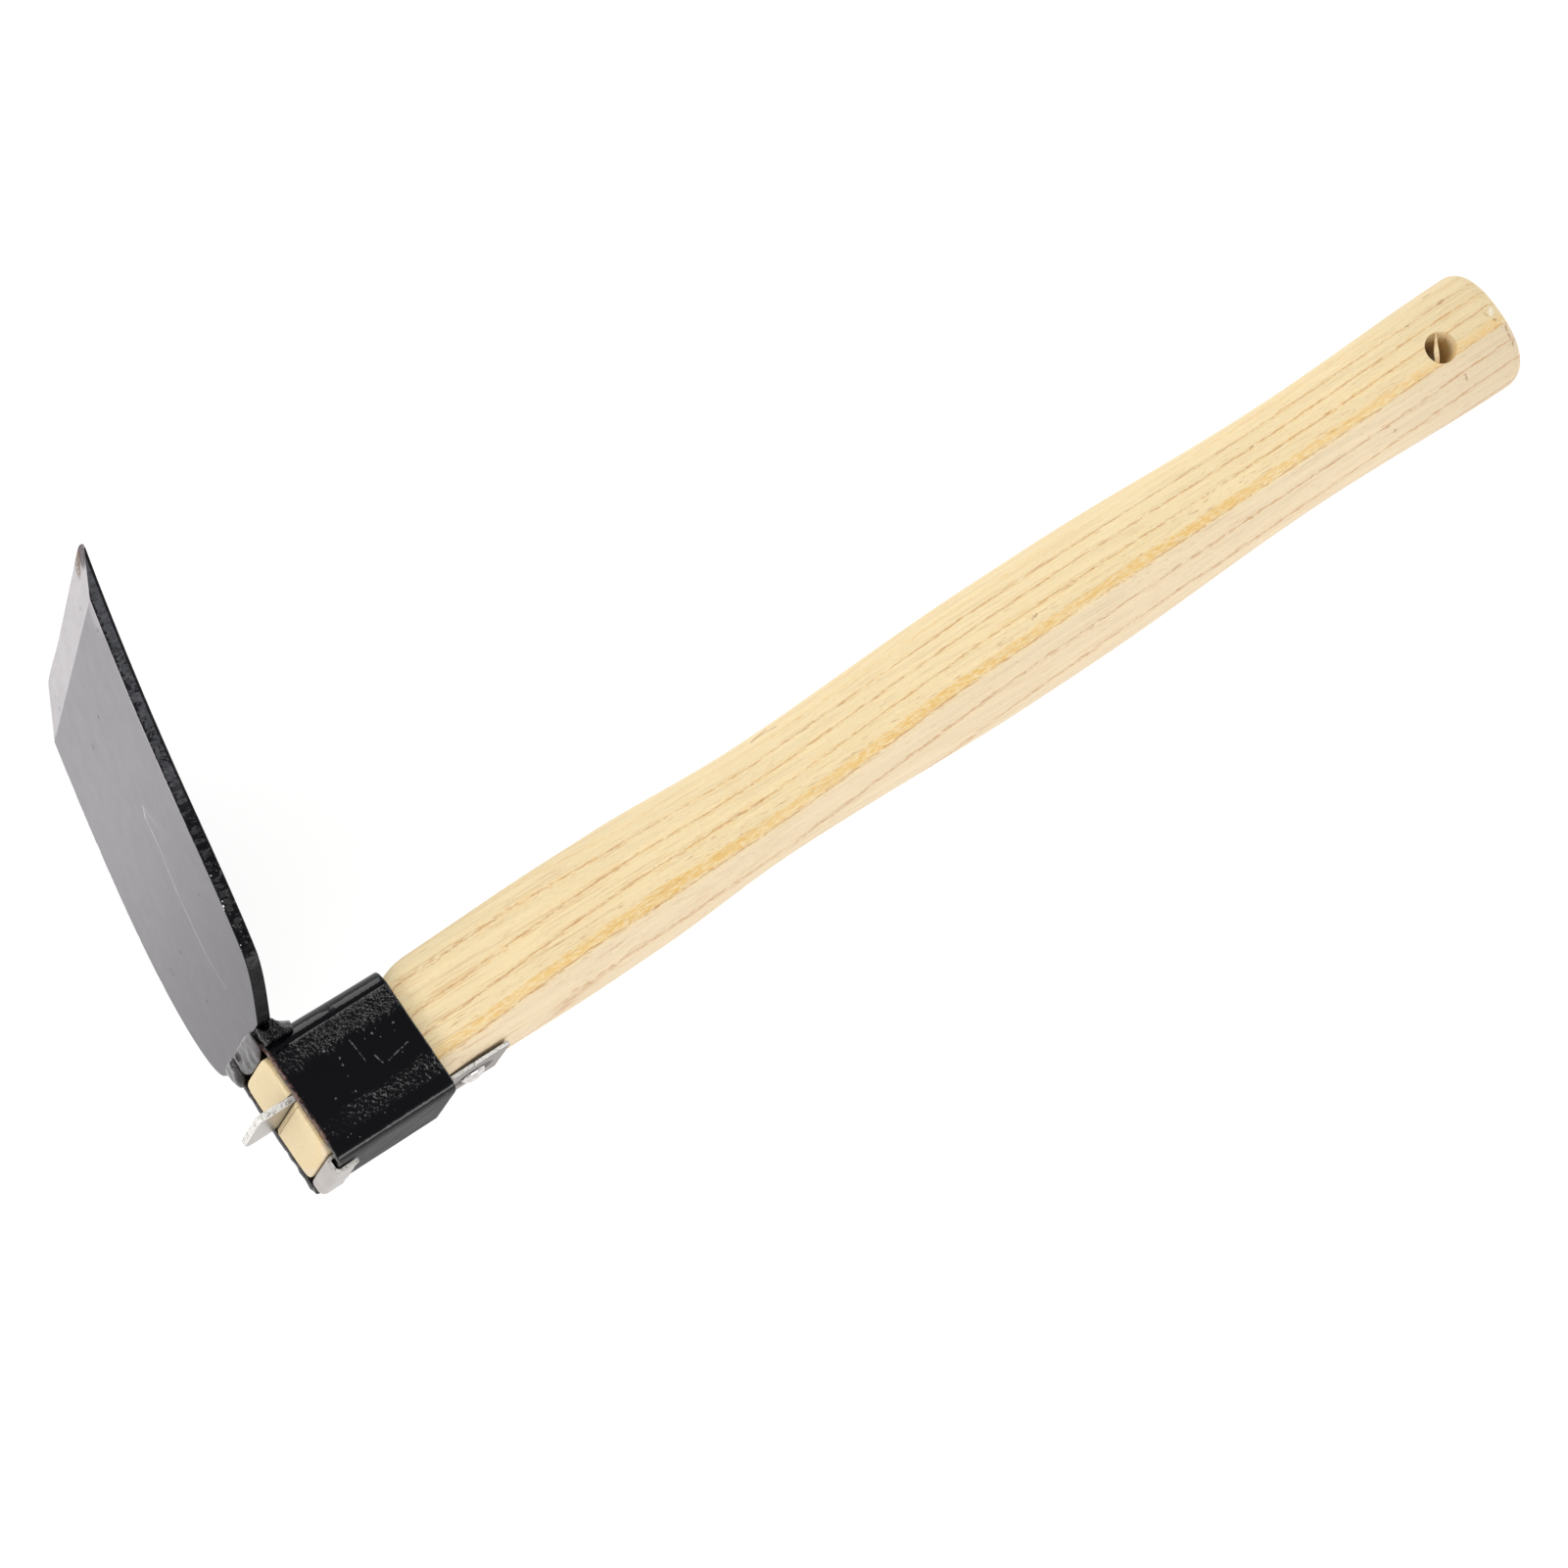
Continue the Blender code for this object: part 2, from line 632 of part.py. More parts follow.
def bead_ends(y, low, high):
    """1 along a bead, falling to a smaller share at each end."""
    share = 2 * (y - low) / (high - low) - 1
    return WELD_END_SHARE + (1 - WELD_END_SHARE) * (1 - abs(share) ** WELD_END_POWER)


def weld_floor(y):
    """Height of the weld's underside, which follows the socket's rounded top corner."""
    radius = SOCKET_TOP_RADIUS
    over = min(max(0.0, abs(y) - (CHEEK - radius)), 0.95 * radius)
    return SOCKET_TOP - radius + math.sqrt((radius + FIT_GAP) ** 2 - over ** 2)


def ripple(y, phase):
    """The small waves that a welding pass leaves."""
    return WELD_RIPPLE * math.sin(2 * math.pi * y / WELD_RIPPLE_PITCH + phase)


def build_rear_weld(parent, surface):
    """The hollow fillet behind the blade, with the root pass under its foot."""
    high = CHEEK + REAR_WELD_PAST_CHEEK
    low = -high
    foot_front = on_blade(-FIT_GAP, 0.0, FIT_GAP)
    foot_back = on_blade(-FIT_GAP, 0.0, BLADE_THICKNESS + FIT_GAP)
    rings = []
    for i in range(WELD_STEPS + 1):
        y = mix(low, high, i / WELD_STEPS)
        size = bead_ends(y, low, high)
        climb = on_blade(REAR_WELD_UP * size, 0.0, BLADE_THICKNESS + FIT_GAP)
        reach = REAR_WELD_BACK * size
        floor = weld_floor(y)
        rise = climb.z - floor
        wave = ripple(y, 0.0) * size
        profile = [(foot_front.x, floor), (foot_front.x, foot_front.z)]
        profile += [(foot_back.x, foot_back.z), (climb.x, climb.z)]
        for share in (0.15, 0.35, 0.55, 0.8):
            rest = 1 - share
            z = floor + REAR_WELD_TOE + (rise - REAR_WELD_TOE) * rest ** REAR_WELD_HOLLOW
            profile.append((climb.x + reach * share, z + wave * rest))
        profile.append((climb.x + reach, floor + REAR_WELD_TOE / 2))
        profile.append((climb.x + reach, floor))
        rings.append([Vector((x, y, z)) for x, z in profile])
    return loft("weld_rear", rings, surface, parent)


def build_front_weld(name, low, high, phase, parent, surface):
    """One lump of the front bead, from the socket's front rim up onto the blade's face."""
    rings = []
    for i in range(WELD_STEPS // 2 + 1):
        y = mix(low, high, i / (WELD_STEPS // 2))
        size = bead_ends(y, low, high)
        face = on_blade(FRONT_WELD_UP * size, 0.0, -FIT_GAP)
        bottom = SOCKET_TOP - (SOCKET_WALL + FRONT_WELD_BELOW_WALL) * size
        bulge = FRONT_WELD_BULGE * size + ripple(y, phase)
        profile = [(-FIT_GAP, face.z), (-FIT_GAP - bulge / 3, face.z)]
        middle = (face.z + bottom) / 2
        half = (face.z - bottom) / 2
        for angle in (50, 25, 0, -25, -50):
            turn = math.radians(angle)
            profile.append((-FIT_GAP - bulge * math.cos(turn), middle + half * math.sin(turn)))
        profile.append((-FIT_GAP, bottom))
        rings.append([Vector((x, y, z)) for x, z in profile])
    return loft(name, rings, surface, parent)


def tool_points(pieces):
    """Every corner of the finished pieces, in the tool's axes."""
    bpy.context.view_layer.update()
    depsgraph = bpy.context.evaluated_depsgraph_get()
    found = {}
    for piece in pieces:
        shown = piece.evaluated_get(depsgraph)
        mesh = shown.to_mesh()
        found[piece.name] = [shown.matrix_world @ vertex.co for vertex in mesh.vertices]
        shown.to_mesh_clear()
    return found


def lay_down(rest, pieces):
    """Lays the tool on the long edge of its blade and on its butt, centred over the origin."""
    points = tool_points(pieces)
    start = on_blade(SHOULDER_LENGTH, BLADE_WIDTH / 2, BLADE_THICKNESS)
    end = on_blade(edge_line(BLADE_WIDTH / 2), BLADE_WIDTH / 2, BLADE_THICKNESS)
    hinge = (end - start).normalized()
    outward = Vector((hinge.z, 0.0, -hinge.x))
    angles = []
    for point in points["handle"]:
        away = (point - start).dot(outward)
        if away > SOCKET_LENGTH:
            angles.append(math.atan2(start.y - point.y, away))
    tip = Matrix.Rotation(min(angles), 4, hinge)
    on_side = Matrix.Rotation(-math.pi / 2, 4, "X")
    turned = on_side @ tip
    placed = [turned @ point for group in points.values() for point in group]
    low = [min(point[i] for point in placed) for i in range(3)]
    high = [max(point[i] for point in placed) for i in range(3)]
    shift = Vector((-(low[0] + high[0]) / 2, -(low[1] + high[1]) / 2, -low[2]))
    rest.matrix_world = Matrix.Translation(shift) @ turned


def main():
    for old in list(bpy.data.objects):
        bpy.data.objects.remove(old)
    wood = material("ash_wood", (0.78, 0.6, 0.36), 0.6, 0.0)
    paint = material("black_paint", (0.012, 0.012, 0.014), 0.3, 0.0)
    steel = material("lacquered_steel", (0.3, 0.3, 0.32), 0.4, 0.6)
    bright = material("bright_steel", (0.55, 0.54, 0.52), 0.35, 1.0)
    rest = bpy.data.objects.new("rest_on_side", None)
    bpy.context.scene.collection.objects.link(rest)
    handle = build_handle(rest, wood)
    cut_handle(handle, rest, wood)
    pieces = [
        handle,
        build_socket(rest, paint),
        build_blade(rest, steel),
        build_rear_weld(rest, paint),
        build_front_weld("weld_front_near", NEAR_WELD_START, NEAR_WELD_END, 0.0, rest, paint),
        build_front_weld("weld_front_far", FAR_WELD_START, FAR_WELD_END, 1.5, rest, paint),
        build_wedge(rest, bright),
        build_strap(rest, bright, wood),
        build_nail(rest, bright),
    ]
    lay_down(rest, pieces)


main()
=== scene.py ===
"""Hand hoe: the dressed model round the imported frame, with its finishes, stage and camera.

Every mesh is drawn in the tool's own axes: X runs from the front of the socket to the butt, Y runs
across the blade away from the camera, and Z points to the side that the blade stands on. The
matrix TOOL_TO_ROW then lays the tool on its side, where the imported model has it.
"""

import json
import math

import bmesh
import bpy
from mathutils import Matrix, Vector, noise


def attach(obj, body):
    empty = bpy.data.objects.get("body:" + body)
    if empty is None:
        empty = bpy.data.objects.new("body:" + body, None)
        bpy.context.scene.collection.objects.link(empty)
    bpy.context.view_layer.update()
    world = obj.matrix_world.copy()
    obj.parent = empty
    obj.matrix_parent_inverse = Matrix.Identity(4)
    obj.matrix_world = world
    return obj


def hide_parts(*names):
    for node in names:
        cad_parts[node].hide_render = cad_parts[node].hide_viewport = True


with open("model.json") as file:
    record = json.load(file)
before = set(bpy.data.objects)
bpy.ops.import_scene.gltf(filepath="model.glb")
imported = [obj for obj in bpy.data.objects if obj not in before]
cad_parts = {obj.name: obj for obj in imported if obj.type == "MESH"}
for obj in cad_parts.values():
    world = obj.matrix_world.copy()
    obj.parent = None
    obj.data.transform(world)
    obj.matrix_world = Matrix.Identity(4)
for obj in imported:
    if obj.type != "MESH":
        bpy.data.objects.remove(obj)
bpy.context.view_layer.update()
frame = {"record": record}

bl_info = {
    "name": "Hand hoe",
    "version": (1, 0, 0),
    "blender": (4, 5, 0),
    "location": "3D View > Sidebar > Hand hoe",
    "description": "Builds a short hand hoe piece by piece, with its finishes and a plain stage",
    "category": "Add Mesh",
}

MM = 0.001

# Clearance between two pieces that touch
FIT_GAP = 0.3 * MM

# Fixed shape numbers of the socket
SOCKET_TAPER = 0.6 * MM
SOCKET_TOP_RADIUS = 4.2 * MM
SOCKET_BOTTOM_RADIUS = 3.0 * MM
RIM_ROUNDING = 0.4 * MM
RIM_WEAR = 0.28 * MM
FAR_RIM_AHEAD = 1.2 * MM
FAR_RIM_ACROSS = (11.5 * MM, 15.0 * MM)
FAR_RIM_DEPTH = 14.0 * MM
WORN_RIM_DEPTH = 1.2 * MM
SOCKET_STEPS = 36
FLAT_STEPS = 26
CORNER_STEPS = 10

# Fixed shape numbers of the strap and the nail
STRAP_SIDE_GAP = 2.9 * MM
STRAP_LIFT = 0.45 * MM
STRAP_REAR_LENGTH = 19.0 * MM
STRAP_TAIL_LENGTH = 5.0 * MM
STRAP_TOP_BEND = 0.9 * MM
STRAP_LOWER_BEND = 1.4 * MM
NAIL_BEHIND_SOCKET = 10.0 * MM
NAIL_SHANK_DIAMETER = 2.6 * MM
NAIL_SHANK_LENGTH = 17.0 * MM
NAIL_HEAD_HEIGHT = 1.9 * MM
DIMPLE_RADIUS = 5.2 * MM
DIMPLE_DEPTH = 0.35 * MM

# Fixed shape numbers of the handle
TENON_PROUD = 1.0 * MM
TENON_TOP_GAP = 1.5 * MM
TENON_EDGE_BREAK = 0.5 * MM
HANDLE_OFFSET = 1.4 * MM
HANDLE_RISE = 8.1 * MM
NECK_BEHIND_SOCKET = 7.0 * MM
NECK_HEIGHT = 31.9 * MM
FRONT_SWELL_SPAN = (92.0 * MM, 104.0 * MM)
FRONT_WAIST_AT = 149.0 * MM
REAR_SWELL_SPAN = (226.0 * MM, 242.0 * MM)
REAR_WAIST_AT = 323.0 * MM
BUTT_FROM_END = 6.6 * MM
BUTT_ROUNDING = 4.5 * MM
OVAL_RATIO = 0.89
TENON_SQUARENESS = 10.0
NECK_SQUARENESS = 5.0
GRIP_SQUARENESS = 2.25
SQUARE_END = 112.0 * MM
NECK_BLEND = 4.0 * MM
NECK_BLEND_POWER = 2.2
GRIP_STEP = 1.7 * MM
SECTION_POINTS = 128
CORNER_CROWDING = 0.15
HANG_HOLE_FROM_BUTT = 21.6 * MM
HOLE_MOUTH_ACROSS = (-13.0 * MM, -9.0 * MM)
HOLE_MOUTH_SHIFT = (0.5 * MM, 0.45 * MM)
HOLE_MOUTH_FLARE = (0.45 * MM, 0.4 * MM)

# Fixed shape numbers of the wedge and of the wood that it crushed
WEDGE_SIDE_GAP = 0.6 * MM
WEDGE_DEPTH = 22.0 * MM
WEDGE_INNER_THICKNESS = 0.8 * MM
WEDGE_HEIGHT_OFFSET = 2.0 * MM
WEDGE_NEAR_CORNER = 1.2 * MM
WEDGE_FAR_CORNER = 4.0 * MM
CRUSHED_LIP_HEIGHT = 1.3 * MM
CRUSHED_LIP_DEPTH = 0.9 * MM
CRACK_WIDTH = 0.3 * MM
CRACK_END = 13.0 * MM
CUT_PAST_TENON = 1.0 * MM

# Fixed shape numbers of the blade
BLADE_LEAN = math.radians(6.6)
BLADE_BEND_RADIUS = 1000.0 * MM
BLADE_FOOT_NEAR = 23.0 * MM
BLADE_FOOT_FAR = 26.0 * MM
NEAR_CHAMFER_SLOPE = 1.75
CHAMFER_BLEND = 7.0 * MM
BLADE_FOOT_ABOVE_SOCKET = 2.6 * MM
BLADE_SETBACK = 0.2 * MM
SHOULDER_LENGTH = 57.5 * MM
SHOULDER_POWER = 2.4
EDGE_THICKNESS = 0.3 * MM
NEAR_TIP_CORNER = (8.0 * MM, 3.0 * MM)
FAR_TIP_CORNER = (5.5 * MM, 2.8 * MM)
EDGE_HOLLOW = 0.45 * MM
EDGE_HOLLOW_SPAN = (14.0 * MM, 38.0 * MM)
EDGE_HOLLOW_TURN = 1.8
LEAST_BEVEL = 0.5 * MM
SHEARED_EDGE_SPAN = (20.0 * MM, 100.0 * MM)
SHEAR_FADE_IN = 14.0 * MM
SHEAR_FADE_OUT = 8.0 * MM

# Fixed shape numbers of the weld beads
REAR_WELD_UP = 4.2 * MM
REAR_WELD_BACK = 6.8 * MM
REAR_WELD_PAST_CHEEK = 3.2 * MM
REAR_WELD_TOE = 0.5 * MM
REAR_WELD_HOLLOW = 1.8
FRONT_WELD_UP = 1.0 * MM
FRONT_WELD_BELOW_WALL = 1.3 * MM
FRONT_WELD_BULGE = 1.8 * MM
NEAR_WELD_INSET = 0.9 * MM
NEAR_WELD_END = 10.2 * MM
FAR_WELD_START = 10.9 * MM
FAR_WELD_INSET = 1.5 * MM
FAR_WELD_DROP = 3.4 * MM
FAR_WELD_CLIMB = 0.72
WELD_END_SHARE = 0.34
WELD_END_POWER = 3.5
WELD_RIPPLE = 0.12 * MM
WELD_RIPPLE_PITCH = 6.5 * MM
WELD_OVERLAP = 0.36 * MM
WELD_VOXEL = 0.32 * MM

# The photograph's camera, in the tool's axes
CAMERA_CENTRE = Vector((-0.5541429, -2.0176082, -0.2488611))
CAMERA_RIGHT = Vector((0.80028826, -0.21110597, -0.56122452))
CAMERA_DOWN = Vector((-0.50077671, 0.27947521, -0.81921688))
CAMERA_FORWARD = Vector((0.32978991, 0.93665782, 0.11794378))
FOCAL_PIXELS = 8690.593
IMAGE_PIXELS = 1601
SENSOR_MM = 36.0

# Default sizes of the socket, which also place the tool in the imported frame
SOCKET_LENGTH_MM = 35.5
SOCKET_WIDTH_MM = 32.8

QUARTER = math.pi / 2
CIRCLE = 2 * math.pi


def tool_to_row():
    """The tool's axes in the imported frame, taken from the mounts on its cheeks and its butt."""
    mounts = {mount["name"]: mount for mount in frame["record"]["mounts"]}
    along = Vector(mounts["handle_butt"]["axis"]).normalized()
    away = Vector(mounts["socket_far_cheek"]["axis"])
    away = (away - along * away.dot(along)).normalized()
    up = along.cross(away)
    cheek = Vector(mounts["socket_near_cheek"]["pos_m"])
    origin = cheek - along * (SOCKET_LENGTH_MM * MM / 2) + away * (SOCKET_WIDTH_MM * MM / 2)
    turn = Matrix((along, away, up)).transposed().to_4x4()
    return Matrix.Translation(origin) @ turn


TOOL_TO_ROW = tool_to_row()


def distance(name, description, size_mm):
    """A length that a user can change, given in millimetres."""
    return bpy.props.FloatProperty(
        name=name,
        description=description,
        default=size_mm * MM,
        min=0.0,
        precision=4,
        unit="LENGTH",
        subtype="DISTANCE",
    )


def colour(name, description, red, green, blue):
    """A colour that a user can change, given as linear values."""
    return bpy.props.FloatVectorProperty(
        name=name,
        description=description,
        default=(red, green, blue),
        size=3,
        min=0.0,
        max=1.0,
        subtype="COLOR",
    )


class HandleSizes(bpy.types.PropertyGroup):
    length: distance("Length", "From the front of the socket to the end of the butt", 389.6)
    front_swell: distance("Front swell", "Full height of the swell behind the socket", 33.9)
    front_waist: distance("Front waist", "Full height of the waist between the swells", 30.3)
    rear_swell: distance("Rear swell", "Full height of the swell in the middle of the grip", 34.1)
    rear_waist: distance("Rear waist", "Full height of the waist before the butt", 29.9)
    butt: distance("Butt", "Full height of the butt", 32.8)
    hang_hole: distance("Hang hole", "Diameter of the hole near the butt", 8.0)


class SocketSizes(bpy.types.PropertyGroup):
    length: distance("Length", "Length of the steel box along the handle", SOCKET_LENGTH_MM)
    height: distance("Height", "Height of the steel box at its front", 36.6)
    width: distance("Width", "Width of the steel box across its cheeks", SOCKET_WIDTH_MM)
    wall: distance("Wall", "Thickness of the sheet", 2.3)


class BladeSizes(bpy.types.PropertyGroup):
    width: distance("Width", "Width of the blade across its edge", 92.5)
    length: distance("Length", "From the foot to the middle of the cutting edge", 119.6)
    thickness: distance("Thickness", "Thickness of the plate", 3.6)
    skew: distance("Edge skew", "How much longer the near side is than the far side", 12.0)
    near_bevel: distance("Near bevel", "Width of the ground bevel at the near corner", 16.2)
    far_bevel: distance("Far bevel", "Width of the ground bevel at the far corner", 13.8)


class FastenerSizes(bpy.types.PropertyGroup):
    strap_thickness: distance("Strap thickness", "Thickness of the retaining strap", 1.1)
    nail_head: distance("Nail head", "Diameter of the nail's head", 7.0)
    wedge_proud: distance("Wedge proud", "How far the wedge stands out of the socket", 10.7)
    wedge_thickness: distance("Wedge thickness", "Thickness of the wedge at its outer end", 2.1)


class FinishColours(bpy.types.PropertyGroup):
    wood: colour("Wood", "Pale early wood", 0.91, 0.745, 0.455)
    wood_line: colour("Wood lines", "Pores along the growth rings", 0.52, 0.21, 0.06)
    wood_stripe: colour("Wood stripe", "Porous golden stripe along the grip", 0.84, 0.53, 0.155)
    wood_pale: colour("Pale wood", "Smooth wood below the stripe", 0.885, 0.725, 0.495)
    paint: colour("Paint", "Gloss black of the socket and of the blade's edges", 0.003, 0.003, 0.0042)
    steel: colour("Blade", "Ground steel under clear lacquer", 0.280, 0.265, 0.286)
    bevel: colour("Bevel", "Finer ground steel of the bevel", 0.485, 0.455, 0.475)
    weld: colour("Weld", "Lacquered weld metal", 0.066, 0.058, 0.060)
    bright: colour("Bright steel", "Sheet steel of the strap and the wedge", 0.49, 0.45, 0.425)


class StageSettings(bpy.types.PropertyGroup):
    light_level: bpy.props.FloatProperty(
        name="Light level",
        description="Share of full light that the lamps and the room give",
        default=1.0,
        min=0.0,
        subtype="FACTOR",
    )
    floor_size: distance("Floor size", "Width of the plain floor", 8000.0)


def smoothstep(low, high, value):
    """0 before low, 1 after high, and a smooth rise between."""
    t = min(1.0, max(0.0, (value - low) / (high - low)))
    return t * t * (3 - 2 * t)


def mix(a, b, share):
    """A value between two others: the first at share 0 and the second at share 1."""
    return a + (b - a) * share


def spread(low, high, steps):
    """Even places from low to high, both included."""
    return [mix(low, high, i / steps) for i in range(steps + 1)]


def arc(whole, steps):
    """Cosine and sine at even steps from 0 to the whole angle, both included."""
    angles = [whole * i / steps for i in range(steps + 1)]
    return [(math.cos(angle), math.sin(angle)) for angle in angles]


def waves(point, scale, seed):
    """Smooth noise from -1 to 1 at a scale in metres."""
    return noise.noise(point / scale + Vector((seed * 17.3, seed * 5.1, seed * 9.7)))


def finish_piece(name, body, finishes, replaced, sharp_degrees):
    """Turns a bmesh into a piece of the model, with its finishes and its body."""
    bmesh.ops.recalc_face_normals(body, faces=body.faces)
    mesh = bpy.data.meshes.new(name)
    body.to_mesh(mesh)
    body.free()
    for finish in finishes:
        mesh.materials.append(finish)
    mesh.shade_smooth()
    if sharp_degrees:
        mesh.set_sharp_from_angle(angle=math.radians(sharp_degrees))
    piece = bpy.data.objects.new(name, mesh)
    bpy.context.scene.collection.objects.link(piece)
    piece.matrix_world = TOOL_TO_ROW
    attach(piece, "root")
    if replaced:
        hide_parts(*replaced)
    return piece


def bake_modifiers(piece):
    """Applies the modifiers of a piece and keeps its own mesh name."""
    bpy.context.view_layer.update()
    shown = piece.evaluated_get(bpy.context.evaluated_depsgraph_get())
    made = bpy.data.meshes.new_from_object(shown)
    old = piece.data
    piece.modifiers.clear()
    piece.data = made
    bpy.data.meshes.remove(old)
    made.name = piece.name


def cut_away(piece, outline_bodies):
    """Cuts closed bodies out of a piece, one after another."""
    cutters = []
    for number, body in enumerate(outline_bodies):
        bmesh.ops.recalc_face_normals(body, faces=body.faces)
        mesh = bpy.data.meshes.new("cutter")
        body.to_mesh(mesh)
        body.free()
        cutter = bpy.data.objects.new(f"cutter_{number}", mesh)
        bpy.context.scene.collection.objects.link(cutter)
        cutter.matrix_world = piece.matrix_world
        change = piece.modifiers.new(cutter.name, "BOOLEAN")
        change.operation = "DIFFERENCE"
        change.solver = "EXACT"
        change.object = cutter
        cutters.append(cutter)
    bake_modifiers(piece)
    for cutter in cutters:
        mesh = cutter.data
        bpy.data.objects.remove(cutter)
        bpy.data.meshes.remove(mesh)


def skin(body, rows, closed=True, zone=0):
    """Joins rows of vertices with faces, and closes each row into a ring if asked."""
    count = len(rows[0])
    last = count if closed else count - 1
    for lower, upper in zip(rows, rows[1:]):
        for i in range(last):
            j = (i + 1) % count
            face = body.faces.new((lower[i], lower[j], upper[j], upper[i]))
            face.material_index = zone


def place_rings(body, rings):
    """Adds rings of points to a body and returns their vertices."""
    return [[body.verts.new(point) for point in ring] for ring in rings]


def cap(body, row, steps):
    """Closes a ring with smaller copies of itself round a middle point."""
    middle = sum((vertex.co for vertex in row), Vector()) / len(row)
    rows = [row]
    for i in range(1, steps):
        share = 1 - i / steps
        rows += place_rings(body, [[middle + (vertex.co - middle) * share for vertex in row]])
    skin(body, rows)
    centre = body.verts.new(middle)
    for i in range(len(row)):
        body.faces.new((rows[-1][i], rows[-1][(i + 1) % len(row)], centre))


def tube_body(rings):
    """A closed body through rings of points, with a flat face at each end."""
    body = bmesh.new()
    rows = place_rings(body, rings)
    skin(body, rows)
    body.faces.new(rows[0])
    body.faces.new(rows[-1])
    return body


def prism_body(outline, low, high):
    """An X-Z outline drawn out along Y from low to high."""
    return tube_body([[Vector((x, y, z)) for x, z in outline] for y in (low, high)])


def rod_body(radius, start, end, steps):
    """A round rod between two points."""
    return lofted_body([(start, radius), (end, radius)], steps)


def lofted_body(stations, steps):
    """A round body through centres and radii, all square to the line from the first to the last."""
    axis = (stations[-1][0] - stations[0][0]).normalized()
    side = axis.orthogonal().normalized()
    across = axis.cross(side)
    rings = []
    for middle, reach in stations:
        rings.append([middle + reach * (side * c + across * s) for c, s in arc(CIRCLE, steps)[:-1]])
    return tube_body(rings)


def socket_outside(socket, x):
    """Height of the socket's outer top and bottom at a distance behind its front."""
    lost = SOCKET_TAPER / 2 * x / socket.length
    return socket.height / 2 - lost, lost - socket.height / 2


def socket_inside(socket, x):
    """Height of the socket's inner top and bottom at a distance behind its front."""
    top, bottom = socket_outside(socket, x)
    return top - socket.wall, bottom + socket.wall


def rounded_box(x, half_width, bottom, top, bottom_radius, top_radius):
    """A ring in the plane at x: a box with one radius above and another below."""
    corners = (
        (half_width - top_radius, top - top_radius, top_radius, 0),
        (-half_width + top_radius, top - top_radius, top_radius, 90),
        (-half_width + bottom_radius, bottom + bottom_radius, bottom_radius, 180),
        (half_width - bottom_radius, bottom + bottom_radius, bottom_radius, 270),
    )
    bends = []
    for y, z, radius, start in corners:
        bend = []
        for i in range(CORNER_STEPS + 1):
            angle = math.radians(start + 90 * i / CORNER_STEPS)
            bend.append(Vector((x, y + radius * math.cos(angle), z + radius * math.sin(angle))))
        bends.append(bend)
    ring = []
    for bend, following in zip(bends, bends[1:] + bends[:1]):
        ring += bend
        ring += [bend[-1].lerp(following[0], i / FLAT_STEPS) for i in range(1, FLAT_STEPS)]
    return ring


def strap_seat(socket, strap_thickness, x):
    """Height of the strap's upper face: it climbs a little through the socket, then runs level."""
    inside = min(x, socket.length)
    lift = STRAP_LIFT * max(0.0, inside) / socket.length
    return socket_inside(socket, inside)[1] + FIT_GAP + strap_thickness + lift


def nail_place(socket, strap_thickness):
    """Distance behind the socket's front and height of the strap's underside at the nail."""
    x = socket.length + NAIL_BEHIND_SOCKET
    return x, strap_seat(socket, strap_thickness, x) - strap_thickness


def neck_span(socket):
    """Where the tenon ends and where the grip has its own shape."""
    return socket.length + FIT_GAP, socket.length + NECK_BEHIND_SOCKET


def grip_height(handle, socket, x):
    """Full height of the grip: smooth steps between swells and waists."""
    stations = (
        (socket.length + NECK_BEHIND_SOCKET, NECK_HEIGHT),
        (FRONT_SWELL_SPAN[0], handle.front_swell),
        (FRONT_SWELL_SPAN[1], handle.front_swell),
        (FRONT_WAIST_AT, handle.front_waist),
        (REAR_SWELL_SPAN[0], handle.rear_swell),
        (REAR_SWELL_SPAN[1], handle.rear_swell),
        (REAR_WAIST_AT, handle.rear_waist),
        (handle.length - BUTT_FROM_END, handle.butt),
    )
    height = stations[0][1]
    for (start, low), (end, high) in zip(stations, stations[1:]):
        if x >= start:
            height = mix(low, high, smoothstep(start, end, x))
    return height


def handle_axis(handle, x):
    """Height of the grip's middle."""
    return HANDLE_OFFSET + HANDLE_RISE * x / handle.length


def hang_hole_place(handle):
    """Distance behind the socket's front and height of the hang hole's middle."""
    x = handle.length - HANG_HOLE_FROM_BUTT
    return x, handle_axis(handle, x)


def handle_section(handle, socket, strap_thickness, x):
    """Half width, bottom, top and squareness of the wood at x."""
    middle = handle_axis(handle, x)
    half = grip_height(handle, socket, x) / 2
    tenon_end, neck = neck_span(socket)
    squareness = mix(NECK_SQUARENESS, GRIP_SQUARENESS, smoothstep(neck, SQUARE_END, x))
    grip = (half * OVAL_RATIO, middle - half, middle + half, squareness)
    at = min(x, tenon_end)
    roof = socket_inside(socket, at)[0]
    tenon = (
        socket.width / 2 - socket.wall - FIT_GAP,
        strap_seat(socket, strap_thickness, at) + FIT_GAP,
        roof - mix(TENON_TOP_GAP, FIT_GAP, max(0.0, at) / tenon_end),
        TENON_SQUARENESS,
    )
    rest = 1 - min(1.0, max(0.0, (x - tenon_end) / (neck + NECK_BLEND - tenon_end)))
    share = 1 - rest ** NECK_BLEND_POWER
    return [mix(a, b, share) for a, b in zip(tenon, grip)]


